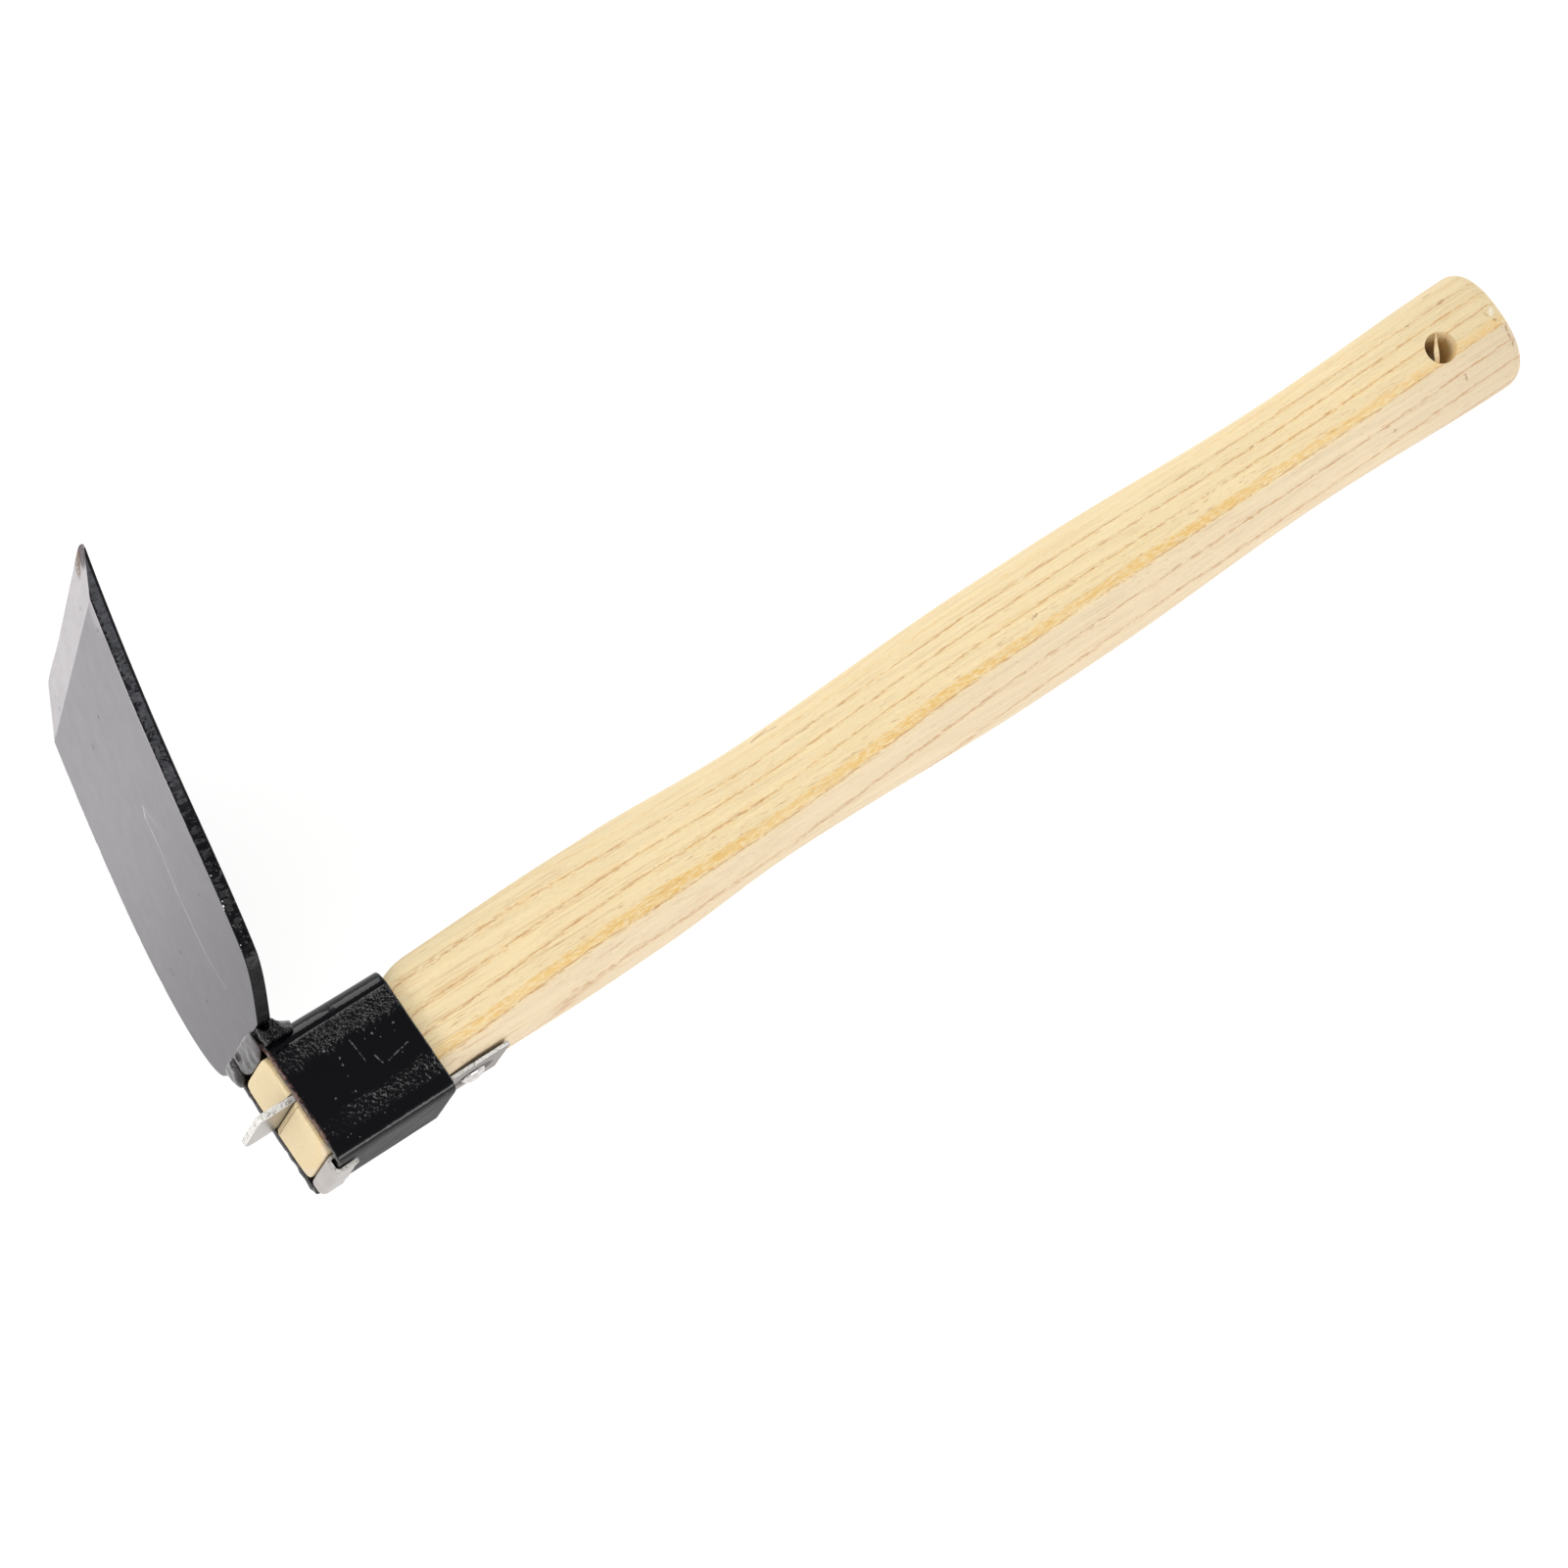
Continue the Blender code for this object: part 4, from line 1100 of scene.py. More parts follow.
def strap_centreline(settings):
    """X-Z points along the middle of the strap, from its rear end to its tail."""
    socket, thin = settings.hoe_socket, settings.hoe_fasteners.strap_thickness
    half = thin / 2
    level = strap_seat(socket, thin, 0.0) - half
    face = -FIT_GAP - half
    under = socket_outside(socket, 0.0)[1] - FIT_GAP - half
    flat = spread(socket.length + STRAP_REAR_LENGTH, socket.length, STRAP_REAR_STEPS)
    flat += spread(socket.length, face + STRAP_TOP_BEND, 12)[1:-1]
    points = [(x, strap_seat(socket, thin, x) - half) for x in flat]
    for c, s in arc(QUARTER, 14):
        points.append((face + STRAP_TOP_BEND * (1 - s), level - STRAP_TOP_BEND * (1 - c)))
    for c, s in arc(QUARTER, 14):
        points.append((face + STRAP_LOWER_BEND * (1 - c), under + STRAP_LOWER_BEND * (1 - s)))
    slope = SOCKET_TAPER / 2 / socket.length
    for x in spread(face + STRAP_LOWER_BEND, STRAP_TAIL_LENGTH, 10)[1:]:
        points.append((x, under + slope * x))
    return points


def offset_line(points, gap):
    """The same line moved sideways, mitred at its bends."""
    moved = []
    for i, (x, z) in enumerate(points):
        before = Vector(points[max(0, i - 1)])
        here = Vector((x, z))
        after = Vector(points[min(len(points) - 1, i + 1)])
        first = (here - before) if i > 0 else (after - here)
        second = (after - here) if i < len(points) - 1 else (here - before)
        n1 = Vector((-first.y, first.x)).normalized()
        n2 = Vector((-second.y, second.x)).normalized()
        bisector = (n1 + n2).normalized()
        shift = bisector * (gap / max(0.5, bisector.dot(n1)))
        moved.append((x + shift.x, z + shift.y))
    return moved


def build_strap(settings):
    """The bent strip, hooked round the socket, dished round the nail and torn at its tail."""
    socket, thin = settings.hoe_socket, settings.hoe_fasteners.strap_thickness
    half_width = socket.width / 2 - socket.wall - STRAP_SIDE_GAP
    nail_x, nail_z = nail_place(socket, thin)
    middle = strap_centreline(settings)
    columns = spread(-half_width, half_width, 44)
    body = bmesh.new()

    def place(x, y, z, i):
        """A point of the strip after the dimple, the torn tail and small waves have moved it."""
        gap = math.hypot(x - nail_x, y) / DIMPLE_RADIUS
        if i < STRAP_REAR_STEPS and gap < 1:
            z += DIMPLE_DEPTH * (1 - gap * gap) ** 2
        torn_row = i - len(middle) + STRAP_TORN_ROWS + 1
        if torn_row > 0:
            torn = torn_row / STRAP_TORN_ROWS
            x += 0.45 * MM * waves(Vector((y, 0, 0)), 3.0 * MM, 61) * torn
            point = smoothstep(half_width - 2.4 * MM, half_width, -y) * torn
            x += 0.5 * MM * point
            y -= 0.9 * MM * point
        wave = 0.04 * MM * waves(Vector((x, y, 0)), 5 * MM, 62)
        return Vector((x, y, z + wave))

    surfaces = []
    for line in (offset_line(middle, -thin / 2), offset_line(middle, thin / 2)):
        rows = []
        for i, (x, z) in enumerate(line):
            toward = (Vector(middle[i]) - Vector((x, z))).normalized()
            row = []
            for y in columns:
                tilt = min(1.0, (half_width - abs(y)) / (0.35 * MM))
                shifted = Vector((x, z)) + toward * (0.1 * MM * (1 - tilt))
                row.append(body.verts.new(place(shifted.x, y, shifted.y, i)))
            rows.append(row)
        surfaces.append(rows)
    top_rows, bottom_rows = surfaces
    skin(body, top_rows, closed=False)
    skin(body, bottom_rows, closed=False)
    for end in (0, -1):
        skin(body, [top_rows[end], bottom_rows[end]], closed=False, zone=1)
    for end in (0, -1):
        sides = [[row[end] for row in rows] for rows in surfaces]
        skin(body, sides, closed=False, zone=1)
    finishes = [finish("bright_sheet"), finish("cut_steel")]
    piece = finish_piece("sheet_strap", body, finishes, ["retaining_strap"], 0)
    cut_away(piece, [rod_body(
        NAIL_SHANK_DIAMETER / 2 + FIT_GAP / 2,
        Vector((nail_x, 0, nail_z - 4 * MM)),
        Vector((nail_x, 0, nail_z + 4 * MM)),
        28,
    )])
    piece.data.set_sharp_from_angle(angle=math.radians(35))


def build_nail(settings):
    """A round-headed nail with a few flats from the hammer."""
    socket, fasteners = settings.hoe_socket, settings.hoe_fasteners
    radius = NAIL_SHANK_DIAMETER / 2
    head = fasteners.nail_head / 2
    x, seat = nail_place(socket, fasteners.strap_thickness)
    seat += 0.12 * MM
    profile = [(0.06 * MM, -NAIL_HEAD_HEIGHT)]
    for degrees in range(8, 89, 8):
        angle = math.radians(degrees)
        profile.append((head * math.sin(angle), -NAIL_HEAD_HEIGHT * math.cos(angle)))
    profile += [(head, -0.1 * MM), (head * 0.96, 0.05 * MM), (radius, 0.05 * MM)]
    profile += [(radius, NAIL_SHANK_LENGTH - 4 * MM), (0.2 * MM, NAIL_SHANK_LENGTH)]
    rings = []
    for reach, z in profile:
        ring = []
        for c, s in arc(CIRCLE, 48)[:-1]:
            point = Vector((reach * c, reach * s, z))
            if z < -0.3 * MM:
                point.z += 0.10 * MM * (1 + waves(point, 2.4 * MM, 71))
            ring.append(point + Vector((x, 0, seat)))
        rings.append(ring)
    finishes = [finish("nail_steel")]
    finish_piece("round_head_nail", tube_body(rings), finishes, ["strap_nail"], 40)


# Sockets of the shader that a finish feeds, by the short names used here
SURFACE_SOCKETS = {
    "colour": "Base Color",
    "metallic": "Metallic",
    "roughness": "Roughness",
    "shine": "Specular IOR Level",
    "normal": "Normal",
}


class Shade:
    """Adds nodes to one shader tree. A value may be a number, a colour or another node's output."""

    def __init__(self, tree):
        self.tree = tree

    def node(self, kind, **settings):
        """A new node with some of its settings changed."""
        made = self.tree.nodes.new(kind)
        for key, value in settings.items():
            setattr(made, key, value)
        return made

    def feed(self, socket, value):
        """Links an output to a socket, or sets the socket's own number or colour."""
        if isinstance(value, bpy.types.NodeSocket):
            self.tree.links.new(value, socket)
        else:
            socket.default_value = value

    def math(self, operation, *values, clamp=False):
        """One sum on numbers."""
        made = self.node("ShaderNodeMath", operation=operation, use_clamp=clamp)
        for socket, value in zip(made.inputs, values):
            self.feed(socket, value)
        return made.outputs[0]

    def chain(self, operation, values):
        """The same sum on a row of values, from the first to the last."""
        result = values[0]
        for value in values[1:]:
            result = self.math(operation, result, value)
        return result

    def times(self, *values):
        """The values multiplied."""
        return self.chain("MULTIPLY", values)

    def plus(self, *values):
        """The values added up."""
        return self.chain("ADD", values)

    def most(self, *values):
        """The largest of the values."""
        return self.chain("MAXIMUM", values)

    def minus(self, first, second):
        """The first value less the second."""
        return self.math("SUBTRACT", first, second)

    def apart(self, first, second):
        """How far two values lie apart."""
        return self.math("ABSOLUTE", self.minus(first, second))

    def line(self, value, slope, start):
        """A straight line: start where value is 0, with a slope."""
        return self.math("MULTIPLY_ADD", value, slope, start)

    def vector(self, operation, *values):
        """One sum on vectors."""
        made = self.node("ShaderNodeVectorMath", operation=operation)
        for socket, value in zip(made.inputs, values):
            self.feed(socket, value)
        scalar = operation in ("LENGTH", "DOT_PRODUCT", "DISTANCE")
        return made.outputs["Value" if scalar else "Vector"]

    def scale(self, vector, factor):
        """A vector or a colour times a number."""
        made = self.node("ShaderNodeVectorMath", operation="SCALE")
        self.feed(made.inputs[0], vector)
        self.feed(made.inputs["Scale"], factor)
        return made.outputs[0]

    def rise(self, value, low, high, to_low=0.0, to_high=1.0):
        """A smooth step of value between low and high."""
        made = self.node("ShaderNodeMapRange", interpolation_type="SMOOTHSTEP")
        names = ("Value", "From Min", "From Max", "To Min", "To Max")
        for name, given in zip(names, (value, low, high, to_low, to_high)):
            self.feed(made.inputs[name], given)
        return made.outputs[0]

    def fall(self, value, low, high, to_high=0.0):
        """A smooth step down from 1 between low and high."""
        return self.rise(value, low, high, 1.0, to_high)

    def noise(self, vector, scale, detail, roughness=0.5, distortion=0.0):
        """Soft noise round 0.5."""
        made = self.node("ShaderNodeTexNoise")
        names = ("Vector", "Scale", "Detail", "Roughness", "Distortion")
        for name, given in zip(names, (vector, scale, detail, roughness, distortion)):
            self.feed(made.inputs[name], given)
        return made.outputs["Fac"]

    def streaks(self, place, stretch, detail, roughness=0.5):
        """Noise with its own scale along each axis."""
        return self.noise(self.vector("MULTIPLY", place, stretch), 1.0, detail, roughness)

    def wander(self, place, scale, detail, reach):
        """An uneven offset round 0, up to half of reach either way."""
        return self.line(self.noise(place, scale, detail), reach, -reach / 2)

    def cells(self, vector, scale):
        """Distance to the nearest of scattered points, and a colour of its own for each."""
        made = self.node("ShaderNodeTexVoronoi", feature="F1")
        self.feed(made.inputs["Vector"], vector)
        self.feed(made.inputs["Scale"], scale)
        return made.outputs["Distance"], made.outputs["Color"]

    def blend(self, share, first, second):
        """The first colour or value, with a share of the second."""
        made = self.node("ShaderNodeMix", data_type="RGBA")
        self.feed(made.inputs["Factor"], share)
        self.feed(made.inputs[6], first)
        self.feed(made.inputs[7], second)
        return made.outputs[2]

    def parts(self, vector):
        """The three numbers of a vector."""
        made = self.node("ShaderNodeSeparateXYZ")
        self.feed(made.inputs[0], vector)
        return made.outputs

    def bump(self, height, strength, distance):
        """Normals of a small relief."""
        made = self.node("ShaderNodeBump")
        self.feed(made.inputs["Height"], height)
        self.feed(made.inputs["Strength"], strength)
        self.feed(made.inputs["Distance"], distance)
        return made.outputs[0]

    def group(self, name, **values):
        """One of the shared effects, with its inputs fed."""
        made = self.node("ShaderNodeGroup", node_tree=effect(name))
        for key, value in values.items():
            self.feed(made.inputs[key.capitalize()], value)
        return made.outputs

    def stroke(self, place, start, end, width):
        """The mask of one straight scratch."""
        return self.group("stroke", place=place, start=start, end=end, width=width)["Mask"]

    def spots(self, place, centres, ragged, inner, outer):
        """Round spots with ragged rims, full within inner and gone beyond outer."""
        marks = []
        for centre in centres:
            gap = self.plus(self.vector("DISTANCE", place, centre), ragged)
            marks.append(self.fall(gap, inner, outer))
        return self.most(*marks)

    def place(self):
        """The tool's own coordinates in millimetres."""
        coordinates = self.node("ShaderNodeTexCoord").outputs["Object"]
        return self.scale(coordinates, 1000.0)

    def surface(self, shader, **values):
        """Feeds the sockets of a finish's shader."""
        for key, value in values.items():
            self.feed(shader.inputs[SURFACE_SOCKETS[key]], value)


def rgb(value):
    """A colour setting as a node's colour, with full alpha."""
    return (*value, 1.0)


def new_group(name, inputs, outputs):
    """An empty effect with named sockets, and the shade that fills it."""
    tree = bpy.data.node_groups.new(name, "ShaderNodeTree")
    for direction, sockets in (("INPUT", inputs), ("OUTPUT", outputs)):
        for key, kind in sockets:
            tree.interface.new_socket(key, in_out=direction, socket_type=kind)
    shade = Shade(tree)
    given, made = shade.node("NodeGroupInput"), shade.node("NodeGroupOutput")
    return tree, shade, given.outputs, made.inputs


VECTOR, FLOAT = "NodeSocketVector", "NodeSocketFloat"


def make_stroke():
    """A straight scratch between two points."""
    tree, shade, given, made = new_group(
        "stroke",
        [("Place", VECTOR), ("Start", VECTOR), ("End", VECTOR), ("Width", FLOAT)],
        [("Mask", FLOAT)],
    )
    reach = shade.vector("SUBTRACT", given["End"], given["Start"])
    toward = shade.vector("SUBTRACT", given["Place"], given["Start"])
    square = shade.vector("DOT_PRODUCT", reach, reach)
    share = shade.math("DIVIDE", shade.vector("DOT_PRODUCT", toward, reach), square, clamp=True)
    gap = shade.vector("LENGTH", shade.vector("SUBTRACT", toward, shade.scale(reach, share)))
    rough = shade.noise(given["Place"], 1.6, 2.0)
    width = shade.times(given["Width"], shade.rise(rough, 0.3, 0.62, 0.25, 1.25))
    shade.feed(made["Mask"], shade.math("SUBTRACT", 1.0, shade.math("DIVIDE", gap, width), clamp=True))
    return tree


def make_specks():
    """Scattered round specks of uneven size."""
    tree, shade, given, made = new_group(
        "specks",
        [("Place", VECTOR), ("Scale", FLOAT), ("Size", FLOAT), ("Share", FLOAT)],
        [("Mask", FLOAT)],
    )
    gap, tint = shade.cells(given["Place"], given["Scale"])
    chance, size_share, _ = shade.parts(tint)
    chosen = shade.math("LESS_THAN", chance, given["Share"])
    size = shade.times(given["Size"], shade.plus(0.4, size_share))
    shade.feed(made["Mask"], shade.times(chosen, shade.math("LESS_THAN", gap, size)))
    return tree


def make_peel():
    """The uneven skin of sprayed paint."""
    tree, shade, given, made = new_group(
        "orange peel", [("Place", VECTOR), ("Scale", FLOAT)], [("Height", FLOAT)]
    )
    coarse = shade.noise(given["Place"], given["Scale"], 1.5, 0.45)
    gap, _ = shade.cells(given["Place"], shade.times(given["Scale"], 1.35))
    shade.feed(made["Height"], shade.plus(coarse, shade.times(gap, 0.7)))
    return tree


# Heart line of the growth rings, in millimetres: its place where the socket starts and its slope,
# across the tool and in height, and how much it bows
HEART_ACROSS = (-1.594, -0.017)
HEART_HEIGHT = (11.879, 0.066)
HEART_BOW = -0.000043

# Growth rings by their distance from the heart line, in millimetres
RING_SPACING = 4.0
RING_START = 2.13
STRIPE_RADIUS = 24.6
STRIPE_BORDER = 25.9


def ring_radius(shade, place):
    """Distance from the slanted and bowed heart line, a little uneven."""
    x, y, z = shade.parts(place)
    heart_y = shade.line(x, HEART_ACROSS[1], HEART_ACROSS[0])
    bow = shade.times(x, x, HEART_BOW)
    heart_z = shade.plus(shade.line(x, HEART_HEIGHT[1], HEART_HEIGHT[0]), bow)
    dy = shade.minus(y, heart_y)
    dz = shade.minus(z, heart_z)
    square = shade.plus(shade.times(dy, dy), shade.times(dz, dz))
    drift = shade.streaks(place, (0.014, 0.05, 0.05), 1.5)
    wobble = shade.streaks(place, (0.09, 0.5, 0.5), 2.0)
    shift = shade.plus(shade.times(drift, 1.1), shade.times(wobble, 0.5))
    return shade.plus(shade.math("SQRT", square), shade.minus(shift, 0.8))


def ring_line_gap(shade, radius):
    """Gap to the nearest ring line, where the stripe has only its border."""
    beyond = shade.math("GREATER_THAN", radius, 25.0)
    even = shade.minus(radius, shade.times(beyond, 2.3))
    turn = shade.math("FRACT", shade.math("DIVIDE", shade.plus(even, RING_START), RING_SPACING))
    ring_gap = shade.times(shade.apart(turn, 0.5), RING_SPACING)
    near_stripe = shade.math("LESS_THAN", shade.apart(radius, 24.65), 2.2)
    ring_gap = shade.plus(ring_gap, shade.times(near_stripe, 9.0))
    return shade.math("MINIMUM", ring_gap, shade.apart(radius, STRIPE_BORDER))


def make_brushing():
    """Fine parallel scratches along one direction, with a slow mottling."""
    tree, shade, given, made = new_group(
        "brushing", [("Place", VECTOR), ("Stretch", VECTOR)], [("Lines", FLOAT), ("Mottling", FLOAT)]
    )
    drawn = shade.vector("MULTIPLY", given["Place"], given["Stretch"])
    shade.feed(made["Lines"], shade.noise(drawn, 1.0, 3.0, 0.6))
    shade.feed(made["Mottling"], shade.noise(given["Place"], 0.12, 3.0, 0.55))
    return tree


EFFECTS = {
    "stroke": make_stroke,
    "specks": make_specks,
    "orange peel": make_peel,
    "brushing": make_brushing,
}


def effect(name):
    """A shared effect, built the first time that it is asked for."""
    return bpy.data.node_groups.get(name) or EFFECTS[name]()


def grip_point(x, h):
    """A point on the near side of the grip, in millimetres, from its height above the axis."""
    settings = bpy.context.scene
    thin = settings.hoe_fasteners.strap_thickness
    section = handle_section(settings.hoe_handle, settings.hoe_socket, thin, x * MM)
    half_width, bottom, top, squareness = section
    round_share = min(1.0, max(0.0, 1 - (settings.hoe_handle.length - x * MM) / BUTT_ROUNDING))
    inset = BUTT_ROUNDING * (1 - math.sqrt(1 - round_share ** 2))
    share = min(1.0, abs(h * MM) / ((top - bottom) / 2 - inset))
    y = -(half_width - inset) * (1 - share ** squareness) ** (1 / squareness)
    return (x, y / MM, (top + bottom) / 2 / MM + h)


# Small marks on the near side of the grip: distance from the socket's front and height above the
# axis at both ends, then the width
GRIP_MARKS = (
    ((152.5, 13.0), (158.0, 13.9), 0.5),
    ((155.0, 13.3), (160.5, 12.9), 0.3),
    ((231.4, -0.8), (233.0, -0.4), 0.5),
    ((308.6, 5.4), (309.4, 5.6), 0.45),
    ((345.7, -11.1), (346.4, -10.9), 0.5),
    ((370.5, -9.2), (370.4, -10.6), 0.5),
    ((375.3, 14.2), (377.3, 14.1), 0.4),
    ((376.0, 10.2), (377.6, 10.3), 0.6),
    ((365.3, 9.7), (364.6, 9.9), 0.4),
    ((384.0, 1.0), (384.4, 0.3), 0.5),
    ((385.2, -1.4), (385.6, -2.0), 0.5),
    ((387.3, -4.5), (387.1, -5.6), 0.6),
    ((386.9, -6.8), (386.8, -7.5), 0.6),
    ((387.0, -8.8), (386.7, -9.6), 0.55),
)

# Whitish chips on the rim of the butt
GRIP_CHIPS = (
    ((386.3, 1.2), (385.4, -0.2), 0.9),
    ((387.4, -3.2), (387.5, -3.8), 0.6),
)


def dress_wood(shade, shader, colours):
    """Growth rings round a slanted heart line, with chains of pores and a porous golden stripe."""
    place = shade.place()
    x = shade.parts(place)[0]
    radius = ring_radius(shade, place)
    gap = ring_line_gap(shade, radius)

    # Chains of pores: short dark dashes that crowd along the ring lines
    fine = shade.streaks(place, (0.24, 4.2, 4.2), 2.0, 0.55)
    long = shade.streaks(place, (0.04, 0.9, 0.9), 2.0)
    reach = shade.plus(shade.rise(gap, 0.0, 0.65, 0.15, 0.0), shade.rise(gap, 0.0, 0.2, 0.08, 0.0))
    chain = shade.plus(fine, reach, shade.times(long, 0.22))
    on_grip = shade.rise(x, -0.6, 0.4, 0.2, 1.0)
    porous = shade.times(shade.rise(radius, 8.6, 10.8, 0.15, 1.0), on_grip)
    pores = shade.times(shade.rise(chain, 0.765, 0.85), porous)
    dot = shade.streaks(place, (0.8, 4.5, 4.5), 2.0)
    dots = shade.times(shade.rise(dot, 0.56, 0.62), shade.fall(gap, 0.15, 0.4), porous)

    # Golden wood beside the lines and in the stripe, broken up into grains
    grain = shade.streaks(place, (0.45, 2.6, 2.6), 3.0, 0.65)
    patch = shade.streaks(place, (0.02, 0.12, 0.12), 2.0)
    halo = shade.times(
        shade.fall(gap, 0.1, 1.3, 0.3),
        shade.rise(grain, 0.42, 0.57),
        shade.rise(patch, 0.3, 0.65, 0.35, 0.9),
        shade.fall(radius, 25.4, 26.4, 0.25),
        shade.rise(x, -0.6, 0.4, 0.25, 1.0),
    )
    ragged = shade.streaks(place, (0.16, 1.6, 1.6), 2.0)
    stripe_at = shade.plus(radius, shade.line(ragged, 1.6, -0.8))
    lively = shade.times(shade.fall(x, 285.0, 350.0, 0.6), shade.rise(patch, 0.25, 0.6, 0.6, 1.0))
    stripe = shade.times(
        shade.fall(shade.apart(stripe_at, STRIPE_RADIUS), 0.6, 1.5),
        shade.rise(grain, 0.40, 0.56, 0.25, 1.0),
        shade.times(lively, on_grip),
    )
    above = shade.times(shade.rise(radius, 20.4, 22.4), shade.fall(radius, 23.2, 24.2))
    flecks = shade.times(above, shade.rise(fine, 0.60, 0.68), on_grip)

    # Hair lines and fibres, and the slow change of the wood's colour
    thin = shade.streaks(place, (0.03, 1.9, 1.9), 2.0, 0.55)
    hair = shade.times(shade.rise(thin, 0.56, 0.64), shade.rise(x, 60.0, 130.0, 0.26, 0.14), on_grip)
    fibre = shade.streaks(place, (0.022, 0.8, 0.8), 4.0, 0.6)
    grit = shade.streaks(place, (1.1, 3.6, 3.6), 2.0, 0.6)
    base = shade.blend(shade.rise(radius, 25.7, 26.8), rgb(colours.wood), rgb(colours.wood_pale))
    level = shade.times(
        shade.rise(fibre, 0.3, 0.7, 1.03, 0.955),
        shade.rise(grit, 0.3, 0.7, 1.02, 0.97),
        shade.fall(x, 330.0, 389.0, 0.89),
    )
    base = shade.scale(shade.scale(base, level), shade.rise(x, -0.6, 0.4, 0.955, 1.0))
    base = shade.blend(shade.times(halo, 0.5), base, rgb(colours.wood_stripe))
    base = shade.blend(shade.times(stripe, 0.9), base, rgb(colours.wood_stripe))
    base = shade.blend(hair, base, rgb(colours.wood_line))
    for mask, strength in ((flecks, 0.38), (pores, 0.5), (dots, 0.45)):
        base = shade.blend(shade.times(mask, strength), base, rgb(colours.wood_line))
    for marks, strength, tint in (
        (GRIP_MARKS, 0.75, (0.36, 0.15, 0.06, 1.0)),
        (GRIP_CHIPS, 0.7, (0.93, 0.90, 0.82, 1.0)),
    ):
        strokes = [
            shade.stroke(place, grip_point(*start), grip_point(*end), width)
            for start, end, width in marks
        ]
        base = shade.blend(shade.times(shade.most(*strokes), strength), base, tint)
    holes = shade.most(pores, shade.times(flecks, 0.7))
    height = shade.minus(shade.times(grit, 0.3), holes)
    shade.surface(
        shader,
        colour=base,
        roughness=shade.rise(fibre, 0.3, 0.7, 0.5, 0.62),
        shine=0.35,
        normal=shade.bump(height, 0.3, 0.0001),
    )


# Thin scratches on the near cheek: distance from the front and height at both ends
CHEEK_STROKES = (
    ((19.2, 6.7), (19.7, -0.1)),
    ((22.4, 0.0), (23.1, -2.6)),
    ((24.7, -2.9), (31.3, -1.6)),
)
CHEEK_SPECKS = (
    (12.2, 7.5), (14.6, 3.9), (14.3, 2.1), (13.3, -5.1), (31.0, 4.5), (25.0, 5.0), (8.0, -4.0),
)


def cheek_point(along, high):
    """A point on the near cheek, in millimetres."""
    return (along, -SOCKET_WIDTH_MM / 2, high)


def dress_paint(shade, shader, colours):
    """Gloss black: orange peel in two bands of the cheek, dust specks and thin scratches."""
    place = shade.place()
    x, y, z = shade.parts(place)
    peel = shade.group("orange peel", place=place, scale=0.85)["Height"]
    level = shade.plus(z, shade.wander(place, 0.16, 2.0, 5.0))
    upper = shade.times(shade.rise(level, 5.0, 8.6), shade.fall(z, 12.8, 13.8, 0.02))
    lower = shade.times(shade.fall(level, -8.6, -5.6), shade.rise(z, -13.4, -11.8, 0.04, 1.0))
    bands = shade.plus(shade.most(upper, shade.times(lower, 0.62)), 0.035)
    height = shade.times(peel, bands, shade.rise(x, 3.0, 13.0, 0.55, 1.0))
    broken = shade.rise(shade.noise(place, 1.3, 2.0), 0.40, 0.54, 0.1, 1.0)
    dust = shade.group("specks", place=place, scale=0.8, size=0.09, share=0.16)["Mask"]
    strokes = [
        shade.stroke(place, cheek_point(*start), cheek_point(*end), 0.26)
        for start, end in CHEEK_STROKES
    ]
    centres = [cheek_point(*spot) for spot in CHEEK_SPECKS]
    spots = shade.spots(place, centres, shade.wander(place, 2.2, 1.0, 0.6), 0.12, 0.36)
    marks = shade.most(dust, shade.times(shade.most(*strokes), broken), spots)
    worn = shade.times(
        shade.fall(x, 0.15, 0.9),
        shade.rise(shade.noise(place, 0.9, 3.0), 0.38, 0.55),
        shade.fall(y, -13.6, -12.6, 0.12),
        shade.rise(z, -13.0, -10.0, 0.15, 1.0),
    )
    base = shade.blend(shade.times(marks, 0.4), rgb(colours.paint), (0.4, 0.4, 0.42, 1.0))
    shade.surface(
        shader,
        colour=shade.blend(shade.times(worn, 0.85), base, (0.17, 0.09, 0.075, 1.0)),
        roughness=shade.line(bands, 0.1, 0.1),
        shine=0.4,
        normal=shade.bump(height, 1.0, 0.0005),
    )


def dress_satin(shade, shader, colours):
    """The socket's underside: the same black left dull, lifted to a dark grey that is part dust and
    part painted sheen, with a few small spots.
    """
    place = shade.place()
    cloud = shade.noise(place, 0.12, 2.0)
    spots = shade.group("specks", place=place, scale=0.3, size=0.1, share=0.3)["Mask"]
    # Dark grey base, part dust and part painted sheen of the underside, a little uneven
    base = shade.scale((0.05, 0.047, 0.048), shade.rise(cloud, 0.3, 0.7, 0.7, 1.2))
    base = shade.blend(spots, base, rgb(colours.paint))
    shade.surface(shader, colour=base, roughness=0.6, shine=0.12)


# Scratch on the blade's face: distance from the foot and place across at both ends, then strength
BLADE_STROKES = (
    ((63.0, -14.2), (60.7, -11.8), 1.0),
    ((63.0, -14.2), (56.2, -19.0), 0.35),
    ((60.7, -11.8), (52.8, -12.4), 0.8),
    ((52.8, -12.4), (40.6, -9.6), 0.6),
    ((40.6, -9.6), (24.0, -8.6), 0.5),
    ((24.0, -8.6), (13.5, -11.5), 0.3),
)
BLADE_SPOTS = (
    (30.9, 13.4), (30.9, 29.8), (29.6, 29.4), (34.3, -28.4),
    (102.4, -41.9), (89.5, -8.5), (86.8, 8.9), (16.5, 11.3),
)
BEVEL_SPOTS = ((112.1, -29.1), (113.2, 3.1), (107.7, 33.0), (103.5, 29.4), (100.5, 43.5))


def face_point(along, across, depth=0.0):
    """A point of the blade, in millimetres."""
    return tuple(value / MM for value in on_blade(along * MM, across * MM, depth * MM))


